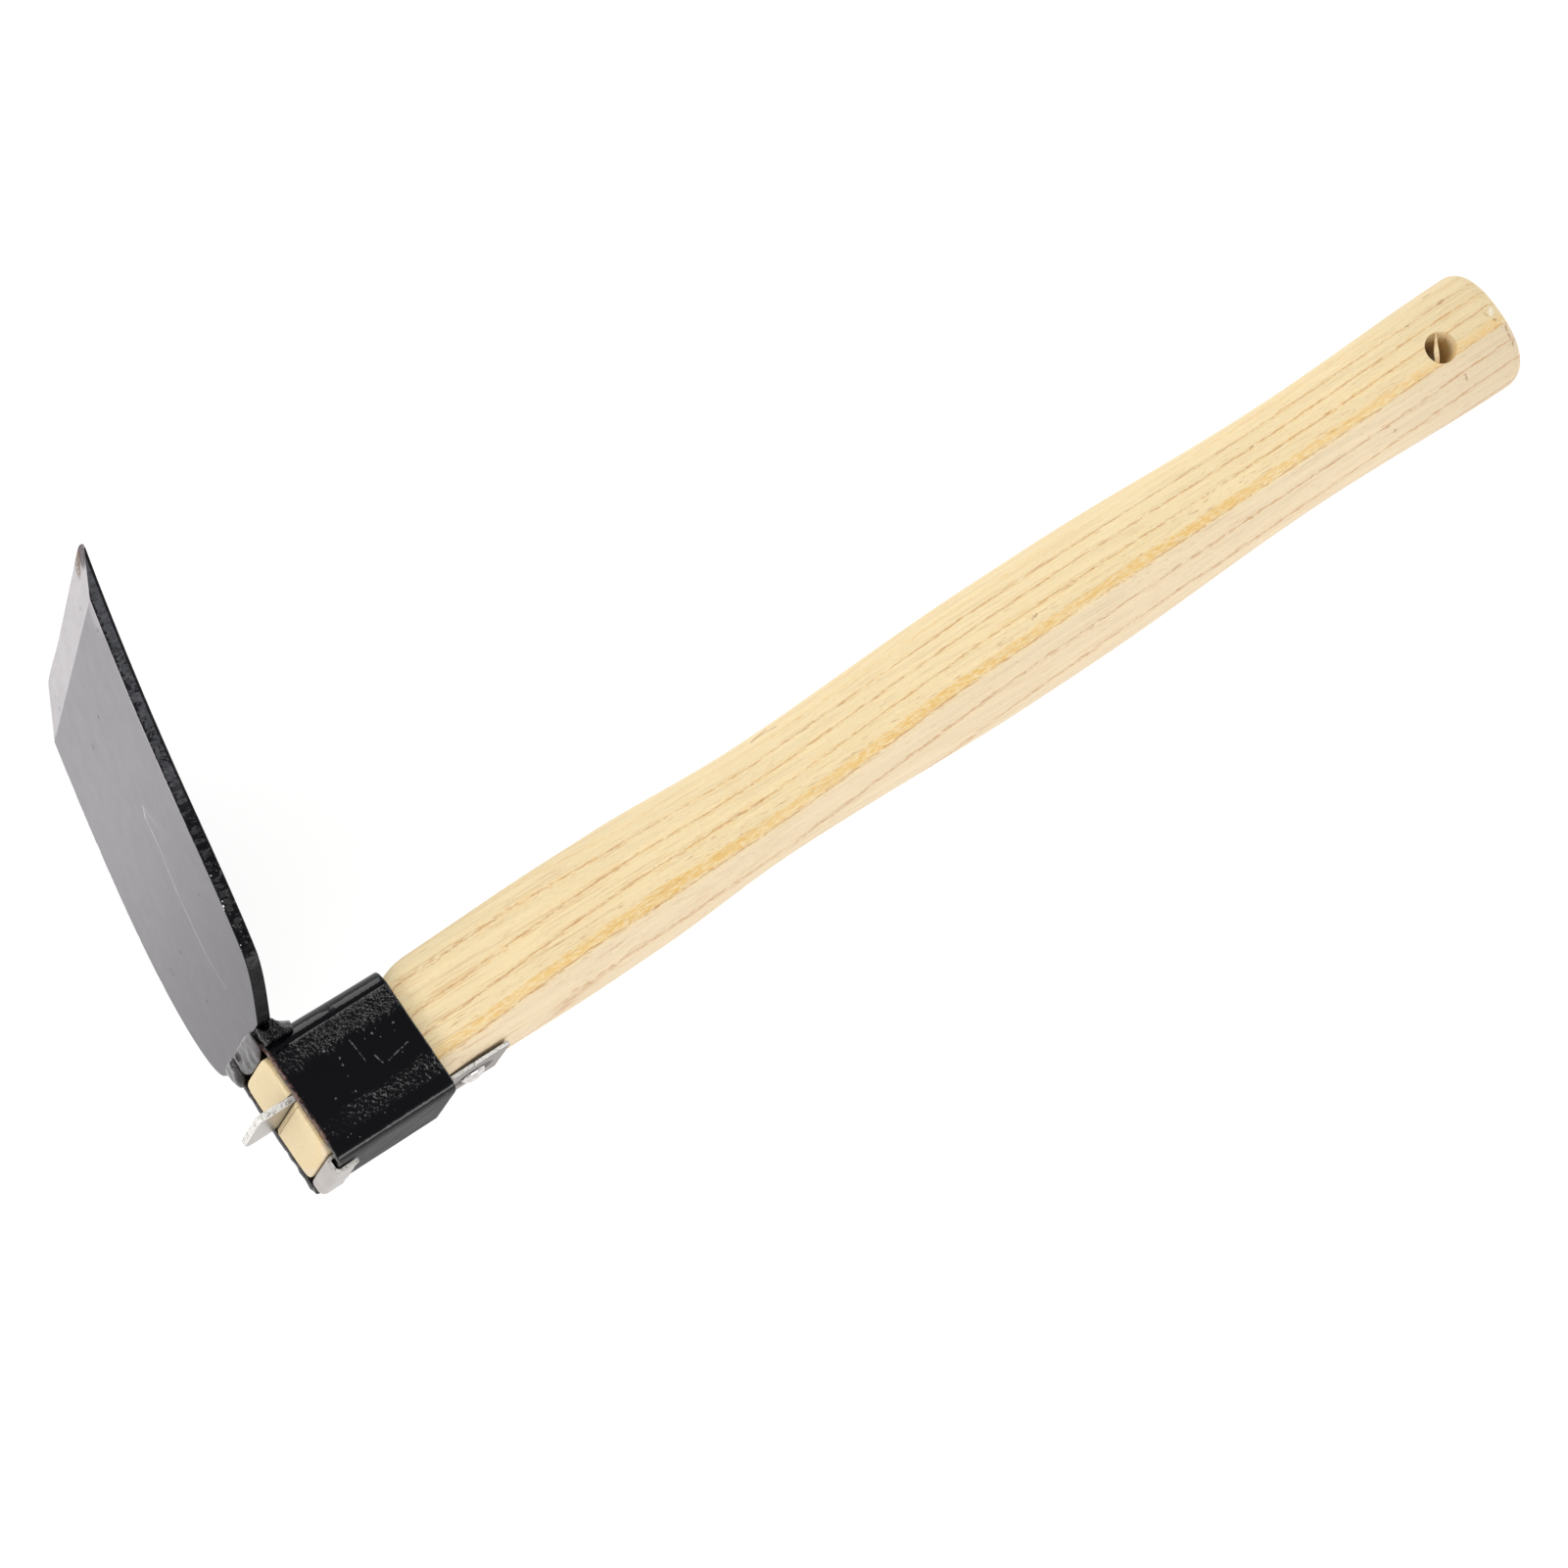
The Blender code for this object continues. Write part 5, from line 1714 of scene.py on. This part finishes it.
def blade_scratch(shade, place, shift):
    """The long scratch on the blade's face, moved across the blade by shift."""
    marks = []
    for start, end, strength in BLADE_STROKES:
        ends = [face_point(along, across + shift) for along, across in (start, end)]
        marks.append(shade.times(shade.stroke(place, *ends, 0.6), strength))
    return shade.most(*marks)


def bevel_point(along, across):
    """A point on the ground bevel, in millimetres."""
    blade = bpy.context.scene.hoe_blade
    start, end = bevel_line(blade, across * MM), edge_line(blade, across * MM)
    share = (along * MM - start) / (end - start)
    return face_point(along, across, share * (blade.thickness - EDGE_THICKNESS) / MM)


def dress_face(shade, shader, colours):
    """Ground steel under clear lacquer, with one long scratch, small spots, painted shade towards the
    foot and a painted highlight along the near rim.
    """
    place = shade.place()
    _, y, z = shade.parts(place)
    brushed = shade.group("brushing", place=place, stretch=(0.7, 0.7, 0.25))
    # Darker towards the foot: painted shade for the shaded floor mirrored there; a little lighter
    # towards the far side
    painted_shade = shade.times(shade.rise(z, 18.0, 95.0, 0.53, 1.0), shade.rise(y, -46.0, 46.0, 0.97, 1.05))
    level = shade.times(painted_shade, shade.rise(brushed["Mottling"], 0.3, 0.7, 0.96, 1.04))
    base = shade.scale(colours.steel, level)
    tip_gap = shade.vector("DISTANCE", place, face_point(105.5, -45.0))
    base = shade.blend(shade.rise(tip_gap, 2.0, 6.5, 0.55, 0.0), base, rgb(colours.bevel))
    # A thin light line along the near rim of the face, high on the blade: a painted highlight
    rim = shade.times(shade.rise(y, -45.9, -45.4, 0.75, 0.0), shade.rise(z, 60.0, 80.0))
    base = shade.blend(rim, base, (0.75, 0.73, 0.74, 1.0))
    scratch = blade_scratch(shade, place, 0.0)
    # The same scratch moved a little across, in dark: painted shade along the scratch's groove
    furrow_shade = blade_scratch(shade, place, 0.7)
    centres = [face_point(*spot) for spot in BLADE_SPOTS]
    spots = shade.spots(place, centres, shade.wander(place, 1.5, 2.0, 1.4), 0.3, 0.85)
    dust = shade.group("specks", place=place, scale=0.35, size=0.06, share=0.3)["Mask"]
    for mask, strength, tint in (
        (furrow_shade, 0.4, (0.12, 0.115, 0.12, 1.0)),
        (scratch, 0.65, (0.80, 0.79, 0.80, 1.0)),
        (spots, 0.75, (0.08, 0.07, 0.07, 1.0)),
        (dust, 0.3, (0.2, 0.19, 0.2, 1.0)),
    ):
        base = shade.blend(shade.times(mask, strength), base, tint)
    height = shade.minus(shade.times(brushed["Lines"], 0.3), scratch)
    shade.surface(
        shader,
        colour=base,
        metallic=0.85,
        roughness=shade.rise(brushed["Lines"], 0.3, 0.7, 0.38, 0.41),
        normal=shade.bump(height, 0.08, 0.00003),
    )


def dress_bevel(shade, shader, colours):
    """Finely ground steel, brighter than the face, with a brown spot at the near tip."""
    place = shade.place()
    brushed = shade.group("brushing", place=place, stretch=(0.4, 0.12, 1.6))
    base = shade.scale(colours.bevel, shade.rise(brushed["Mottling"], 0.3, 0.7, 0.94, 1.04))
    burnt = shade.vector("DISTANCE", place, bevel_point(122.8, -36.5))
    flaky = shade.rise(shade.noise(place, 0.8, 3.0), 0.36, 0.5)
    brown = shade.times(shade.fall(burnt, 3.4, 6.2), flaky)
    tip = shade.vector("DISTANCE", place, bevel_point(123.0, -44.5))
    cloudy = shade.rise(shade.noise(place, 0.7, 2.0), 0.3, 0.5, 0.55, 1.0)
    dark = shade.times(shade.fall(tip, 3.6, 6.6), cloudy)
    centres = [bevel_point(*spot) for spot in BEVEL_SPOTS]
    spots = shade.spots(place, centres, shade.wander(place, 1.5, 2.0, 1.4), 0.3, 1.1)
    for mask, strength, tint in (
        (brown, 0.9, (0.20, 0.13, 0.08, 1.0)),
        (dark, 0.9, (0.10, 0.075, 0.08, 1.0)),
        (spots, 0.6, (0.12, 0.11, 0.11, 1.0)),
    ):
        base = shade.blend(shade.times(mask, strength), base, tint)
    stain = shade.most(brown, dark)
    shade.surface(
        shader,
        colour=base,
        metallic=shade.line(stain, -0.75, 0.9),
        roughness=shade.line(stain, 0.4, shade.rise(brushed["Lines"], 0.3, 0.7, 0.3, 0.4)),
        shine=0.3,
        normal=shade.bump(brushed["Lines"], 0.12, 0.00005),
    )


def edge_depth(shade, x, z):
    """How deep a place lies in the blade's thickness: 0 at its front face and 1 at its back."""
    samples = [face_point(along, 0.0) for along in (0.0, 60.0, 120.0)]
    (x0, _, z0), (x1, _, z1), (x2, _, z2) = samples
    first = (x1 - x0) / (z1 - z0)
    second = ((x2 - x1) / (z2 - z1) - first) / (z2 - z0)
    slope = shade.line(shade.minus(z, z1), second, first)
    front = shade.line(shade.minus(z, z0), slope, x0)
    thickness = bpy.context.scene.hoe_blade.thickness / MM
    return shade.math("DIVIDE", shade.minus(x, front), thickness)


def dress_edge(shade, shader, colours):
    """A painted sheared edge: slate with black tears above, torn black below, smooth at the foot, with
    painted glints along the front rim.
    """
    place = shade.place()
    x, _, z = shade.parts(place)
    depth = edge_depth(shade, x, z)
    drawn = shade.node("ShaderNodeCombineXYZ")
    shade.feed(drawn.inputs[0], shade.line(depth, 0.35, shade.times(z, 0.75)))
    shade.feed(drawn.inputs[1], shade.times(depth, 0.8))
    tears = shade.noise(drawn.outputs[0], 1.0, 3.0, 0.65, 0.5)
    lines = shade.times(
        shade.fall(shade.apart(tears, 0.5), 0.03, 0.045),
        shade.rise(shade.noise(place, 0.3, 2.0), 0.42, 0.5),
        shade.fall(z, 108.0, 124.0, 0.15),
    )
    facets = shade.times(shade.fall(tears, 0.46, 0.5), shade.fall(z, 66.0, 92.0, 0.1))
    nicks = shade.noise(place, 1.1, 2.0)
    front_rim = shade.fall(shade.minus(depth, shade.line(nicks, 0.9, -0.4)), 0.05, 0.13)
    back_rim = shade.rise(depth, 0.76, 0.84)
    smooth = shade.fall(z, 38.0, 44.0)
    high = shade.rise(z, 62.0, 82.0)
    grey = shade.blend(high, (0.034, 0.034, 0.036, 1.0), (0.075, 0.076, 0.084, 1.0))
    grey = shade.blend(smooth, grey, (0.008, 0.008, 0.009, 1.0))
    grey = shade.scale(grey, shade.rise(shade.noise(place, 0.9, 3.0), 0.35, 0.65, 0.7, 1.1))
    black = shade.most(lines, facets, front_rim, back_rim)
    base = shade.blend(shade.times(black, 0.95), grey, rgb(colours.paint))
    # White specks along the front rim between heights 34 and 64: painted glints
    rim_glints = shade.group("specks", place=place, scale=1.2, size=0.3, share=0.5)["Mask"]
    glint_span = shade.times(
        shade.rise(z, 34.0, 38.0),
        shade.fall(z, 56.0, 64.0),
        shade.fall(depth, 0.1, 0.2, 0.08),
    )
    soft = shade.noise(place, 0.4, 2.0)
    shade.surface(
        shader,
        colour=shade.blend(shade.times(rim_glints, glint_span), base, (0.75, 0.74, 0.74, 1.0)),
        roughness=shade.rise(tears, 0.35, 0.65, 0.22, 0.34),
        shine=0.22,
        normal=shade.bump(shade.blend(smooth, tears, soft), 0.6, 0.0006),
    )


def dress_back(shade, shader, colours):
    """The same black on the blade's back, worn to the steel along the cutting edge."""
    place = shade.place()
    _, y, z = shade.parts(place)
    peel = shade.group("orange peel", place=place, scale=0.9)["Height"]
    slant = shade.plus(z, shade.times(y, 0.129))
    ragged = shade.plus(slant, shade.times(shade.noise(place, 0.35, 4.0, 0.6), 7.0))
    bare = shade.rise(ragged, 138.6, 139.6)
    brushed = shade.group("brushing", place=place, stretch=(0.4, 0.12, 1.6))
    scuffs = shade.times(shade.rise(brushed["Lines"], 0.62, 0.7), 0.25)
    base = shade.blend(scuffs, rgb(colours.paint), (0.09, 0.09, 0.095, 1.0))
    shade.surface(
        shader,
        colour=shade.blend(bare, base, rgb(colours.bevel)),
        metallic=bare,
        roughness=shade.rise(peel, 0.5, 1.2, 0.25, 0.36),
        shine=0.4,
        normal=shade.bump(peel, 0.35, 0.0003),
    )


def dress_weld(shade, shader, colours):
    """Glassy dark grey metal with a painted highlight along its toe on the blade and small painted
    glints, black behind the blade, at its near end and in random patches.
    """
    place = shade.place()
    x, y, z = shade.parts(place)
    cloud = shade.noise(place, 0.35, 3.0, 0.55)
    rear = shade.rise(x, 0.2, 1.6)
    black = shade.most(rear, shade.fall(y, -16.6, -14.4), shade.rise(cloud, 0.46, 0.72))
    base = shade.blend(black, rgb(colours.weld), rgb(colours.paint))
    # A lighter line along the bead's upper border on the blade: a painted highlight
    border = shade.plus(z, shade.wander(place, 0.8, 2.0, 1.6))
    toe_highlight = shade.times(shade.rise(border, 21.5, 22.0), shade.fall(x, 0.4, 1.2))
    base = shade.blend(shade.times(toe_highlight, 0.6), base, rgb(colours.bevel))
    glints = shade.group("specks", place=place, scale=1.1, size=0.15, share=0.14)["Mask"]
    peel = shade.group("orange peel", place=place, scale=0.9)["Height"]
    torn = shade.times(rear, shade.fall(y, -17.5, -14.0))
    height = shade.times(peel, shade.line(torn, 0.92, 0.08))
    shade.surface(
        shader,
        colour=shade.blend(shade.times(glints, 0.6), base, (0.55, 0.55, 0.55, 1.0)),
        metallic=shade.line(black, -0.2, 0.2),
        roughness=shade.rise(cloud, 0.3, 0.7, 0.12, 0.26),
        shine=0.24,
        normal=shade.bump(height, 1.0, 0.0006),
    )


def dress_sheet(shade, shader, colours):
    """Rolled sheet steel with faint lines along its length, darker towards its rear end, with a
    painted shadow round the nail's head.
    """
    place = shade.place()
    x = shade.parts(place)[0]
    brushed = shade.group("brushing", place=place, stretch=(0.15, 2.4, 0.4))
    mottled = shade.rise(brushed["Mottling"], 0.3, 0.7, 0.92, 1.05)
    base = shade.scale(colours.bright, shade.times(mottled, shade.rise(x, 2.0, 36.0, 0.96, 0.66)))
    flat = shade.vector("MULTIPLY", place, (1.0, 1.0, 0.0))
    nail_x = (bpy.context.scene.hoe_socket.length + NAIL_BEHIND_SOCKET) / MM
    gap = shade.vector("DISTANCE", flat, (nail_x, 0.0, 0.0))
    # A dark ring round the nail's head: painted shadow between the head and the strap
    ring = shade.times(shade.fall(gap, 5.2, 6.6), shade.rise(x, 36.0, 38.0))
    rough = shade.rise(brushed["Lines"], 0.3, 0.7, 0.28, 0.36)
    shade.surface(
        shader,
        colour=shade.blend(shade.times(ring, 0.85), base, (0.05, 0.045, 0.045, 1.0)),
        metallic=1.0,
        roughness=shade.plus(rough, shade.rise(x, 34.0, 38.0, 0.0, 0.2)),
        normal=shade.bump(brushed["Lines"], 0.12, 0.00005),
    )


def dress_nail(shade, shader, colours):
    """Bright wire steel with a few dull spots."""
    cloud = shade.noise(shade.place(), 0.7, 2.0)
    shade.surface(
        shader,
        colour=shade.scale((0.74, 0.71, 0.69), shade.rise(cloud, 0.35, 0.7, 1.0, 0.75)),
        metallic=1.0,
        roughness=shade.rise(cloud, 0.3, 0.7, 0.16, 0.3),
    )


def dress_wedge(shade, shader, colours):
    """The flat faces of the wedge: smooth cut plate."""
    grit = shade.noise(shade.place(), 2.2, 3.0, 0.65)
    shade.surface(
        shader,
        colour=shade.scale((0.465, 0.438, 0.412), shade.rise(grit, 0.3, 0.7, 0.93, 1.04)),
        metallic=0.9,
        roughness=shade.rise(grit, 0.3, 0.7, 0.3, 0.4),
        normal=shade.bump(grit, 0.1, 0.0002),
    )


def dress_cut(shade, shader, colours):
    """The cut edge of a sheet: pale, rough and glittering, with dark pits."""
    place = shade.place()
    grit = shade.noise(place, 1.5, 3.0, 0.65)
    pits = shade.rise(shade.noise(place, 0.9, 3.0, 0.6), 0.54, 0.62)
    base = shade.scale((0.94, 0.91, 0.86), shade.rise(grit, 0.3, 0.7, 0.8, 1.05))
    shade.surface(
        shader,
        colour=shade.blend(shade.times(pits, 0.6), base, (0.2, 0.18, 0.16, 1.0)),
        metallic=0.3,
        roughness=shade.rise(grit, 0.3, 0.7, 0.35, 0.55),
        normal=shade.bump(grit, 0.5, 0.0004),
    )


FINISHES = {
    "ash_wood": dress_wood,
    "socket_paint": dress_paint,
    "satin_paint": dress_satin,
    "blade_face": dress_face,
    "blade_bevel": dress_bevel,
    "edge_paint": dress_edge,
    "back_paint": dress_back,
    "weld_metal": dress_weld,
    "bright_sheet": dress_sheet,
    "nail_steel": dress_nail,
    "wedge_steel": dress_wedge,
    "cut_steel": dress_cut,
}


def finish(name):
    """A finish of the tool, built the first time that it is asked for."""
    made = bpy.data.materials.get(name)
    if made:
        return made
    made = bpy.data.materials.new(name)
    made.use_nodes = True
    shader = made.node_tree.nodes["Principled BSDF"]
    FINISHES[name](Shade(made.node_tree), shader, bpy.context.scene.hoe_colours)
    return made


def build_camera():
    """The camera that took the photograph, in the tool's axes."""
    data = bpy.data.cameras.new("photo_camera")
    data.sensor_fit = "HORIZONTAL"
    data.sensor_width = SENSOR_MM
    data.lens = FOCAL_PIXELS * SENSOR_MM / IMAGE_PIXELS
    camera = bpy.data.objects.new("photo_camera", data)
    bpy.context.scene.collection.objects.link(camera)
    turn = Matrix((CAMERA_RIGHT, -CAMERA_DOWN, -CAMERA_FORWARD)).transposed().to_4x4()
    camera.matrix_world = TOOL_TO_ROW @ Matrix.Translation(CAMERA_CENTRE) @ turn
    bpy.context.scene.camera = camera


def floor_finish():
    """White paper that glows evenly for the camera and in reflections."""
    surface = bpy.data.materials.new("floor_white")
    surface.use_nodes = True
    tree = surface.node_tree
    shade = Shade(tree)
    tree.nodes.remove(tree.nodes["Principled BSDF"])
    path = shade.node("ShaderNodeLightPath").outputs
    seen = shade.most(path["Is Camera Ray"], path["Is Glossy Ray"], path["Is Transmission Ray"])
    glow = shade.node("ShaderNodeEmission")
    shade.feed(glow.inputs["Color"], (1.0, 1.0, 1.0, 1.0))
    shade.feed(glow.inputs["Strength"], shade.times(seen, 0.85))
    paper = shade.node("ShaderNodeBsdfDiffuse")
    tint = shade.blend(seen, (0.8, 0.8, 0.8, 1.0), (0.25, 0.25, 0.25, 1.0))
    shade.feed(paper.inputs["Color"], tint)
    both = shade.node("ShaderNodeAddShader")
    shade.feed(both.inputs[0], glow.outputs[0])
    shade.feed(both.inputs[1], paper.outputs[0])
    shade.feed(tree.nodes["Material Output"].inputs["Surface"], both.outputs[0])
    return surface


FLOOR_DROP = 0.2 * MM


def build_floor(settings):
    """A plain white floor that keeps a pale shadow of the tool."""
    half = settings.floor_size / 2
    corners = ((-half, -half), (half, -half), (half, half), (-half, half))
    body = bmesh.new()
    body.faces.new([body.verts.new((x, y, -FLOOR_DROP)) for x, y in corners])
    mesh = bpy.data.meshes.new("floor")
    body.to_mesh(mesh)
    body.free()
    mesh.materials.append(floor_finish())
    floor = bpy.data.objects.new("floor", mesh)
    bpy.context.scene.collection.objects.link(floor)


# Place that every lamp is aimed at
LAMP_TARGET = Vector((0.0, 0.0, 0.03))

# Soft lamps: name, place, width, height, watts at full level
LAMPS = (
    ("lamp_upper", (-0.1, 1.9, 1.45), 2.0, 1.6, 25.5),
    ("lamp_lower", (0.1, -2.0, 1.2), 2.0, 0.8, 19.0),
    ("lamp_left", (-2.1, -0.1, 1.2), 1.4, 0.8, 18.0),
    ("lamp_right", (2.0, 0.1, 1.5), 1.4, 0.8, 12.0),
)


def build_room(settings):
    """An even white room, dimmer overhead."""
    world = bpy.data.worlds.new("room")
    world.use_nodes = True
    bpy.context.scene.world = world
    shade = Shade(world.node_tree)
    backdrop = world.node_tree.nodes["Background"]
    height = shade.parts(shade.node("ShaderNodeTexCoord").outputs["Generated"])[2]
    level = shade.rise(height, 0.35, 0.9, 0.8 * settings.light_level, 0.15 * settings.light_level)
    shade.feed(backdrop.inputs["Strength"], level)
    shade.feed(backdrop.inputs["Color"], (1.0, 1.0, 1.0, 1.0))


def build_stage(settings):
    """Floor, soft lamps, an even room and the camera."""
    build_camera()
    build_floor(settings)
    for name, place, width, height, watts in LAMPS:
        data = bpy.data.lights.new(name, "AREA")
        data.shape = "RECTANGLE"
        data.size = width
        data.size_y = height
        data.energy = watts * settings.light_level
        lamp = bpy.data.objects.new(name, data)
        bpy.context.scene.collection.objects.link(lamp)
        aim = (LAMP_TARGET - Vector(place)).to_track_quat("-Z", "Y")
        lamp.matrix_world = Matrix.Translation(place) @ aim.to_matrix().to_4x4()
    build_room(settings)
    bpy.context.scene.view_settings.view_transform = "Standard"


class HOE_OT_handle(bpy.types.Operator):
    """Builds the ash handle with its tenon, kerf, hang hole and splinter"""

    bl_idname = "hoe.handle"
    bl_label = "Handle"

    def execute(self, context):
        build_handle(context.scene)
        return {"FINISHED"}


class HOE_OT_socket(bpy.types.Operator):
    """Builds the boxed steel socket in gloss black"""

    bl_idname = "hoe.socket"
    bl_label = "Socket"

    def execute(self, context):
        build_socket(context.scene)
        return {"FINISHED"}


class HOE_OT_blade(bpy.types.Operator):
    """Builds the blade with its ground bevel and painted edges"""

    bl_idname = "hoe.blade"
    bl_label = "Blade"

    def execute(self, context):
        build_blade(context.scene)
        return {"FINISHED"}


class HOE_OT_welds(bpy.types.Operator):
    """Builds the weld beads between the blade and the socket"""

    bl_idname = "hoe.welds"
    bl_label = "Weld beads"

    def execute(self, context):
        build_welds(context.scene)
        return {"FINISHED"}


class HOE_OT_wedge(bpy.types.Operator):
    """Builds the steel wedge in the handle's front end"""

    bl_idname = "hoe.wedge"
    bl_label = "Wedge"

    def execute(self, context):
        build_wedge(context.scene)
        return {"FINISHED"}


class HOE_OT_strap(bpy.types.Operator):
    """Builds the retaining strap and the nail that holds it"""

    bl_idname = "hoe.strap"
    bl_label = "Strap and nail"

    def execute(self, context):
        build_strap(context.scene)
        build_nail(context.scene)
        return {"FINISHED"}


class HOE_OT_stage(bpy.types.Operator):
    """Builds the floor, the lamps, the room and the camera"""

    bl_idname = "hoe.stage"
    bl_label = "Stage"

    def execute(self, context):
        build_stage(context.scene.hoe_stage)
        return {"FINISHED"}


OPERATORS = (
    HOE_OT_handle,
    HOE_OT_socket,
    HOE_OT_blade,
    HOE_OT_welds,
    HOE_OT_wedge,
    HOE_OT_strap,
    HOE_OT_stage,
)

SETTINGS = {
    "hoe_handle": HandleSizes,
    "hoe_socket": SocketSizes,
    "hoe_blade": BladeSizes,
    "hoe_fasteners": FastenerSizes,
    "hoe_colours": FinishColours,
    "hoe_stage": StageSettings,
}


class HOE_PT_sidebar(bpy.types.Panel):
    """Lists the pieces of the hand hoe and their sizes"""

    bl_idname = "HOE_PT_sidebar"
    bl_label = "Hand hoe"
    bl_space_type = "VIEW_3D"
    bl_region_type = "UI"
    bl_category = "Hand hoe"

    def draw(self, context):
        for name, group in SETTINGS.items():
            box = self.layout.box()
            box.label(text=name.replace("hoe_", "").capitalize())
            values = getattr(context.scene, name)
            for key in group.__annotations__:
                box.prop(values, key)
        for operator in OPERATORS:
            self.layout.operator(operator.bl_idname)


def register():
    """Registers the settings, the operators and the panel."""
    for kind in (*SETTINGS.values(), *OPERATORS, HOE_PT_sidebar):
        bpy.utils.register_class(kind)
    for name, group in SETTINGS.items():
        setattr(bpy.types.Scene, name, bpy.props.PointerProperty(type=group))


def unregister():
    """Takes back everything that register added."""
    for name in SETTINGS:
        delattr(bpy.types.Scene, name)
    for kind in (HOE_PT_sidebar, *OPERATORS[::-1], *SETTINGS.values()):
        bpy.utils.unregister_class(kind)


def main():
    """Builds the stage and every piece."""
    register()
    bpy.ops.hoe.stage()
    bpy.ops.hoe.handle()
    bpy.ops.hoe.socket()
    bpy.ops.hoe.blade()
    bpy.ops.hoe.welds()
    bpy.ops.hoe.wedge()
    bpy.ops.hoe.strap()


if __name__ == "__main__":
    main()
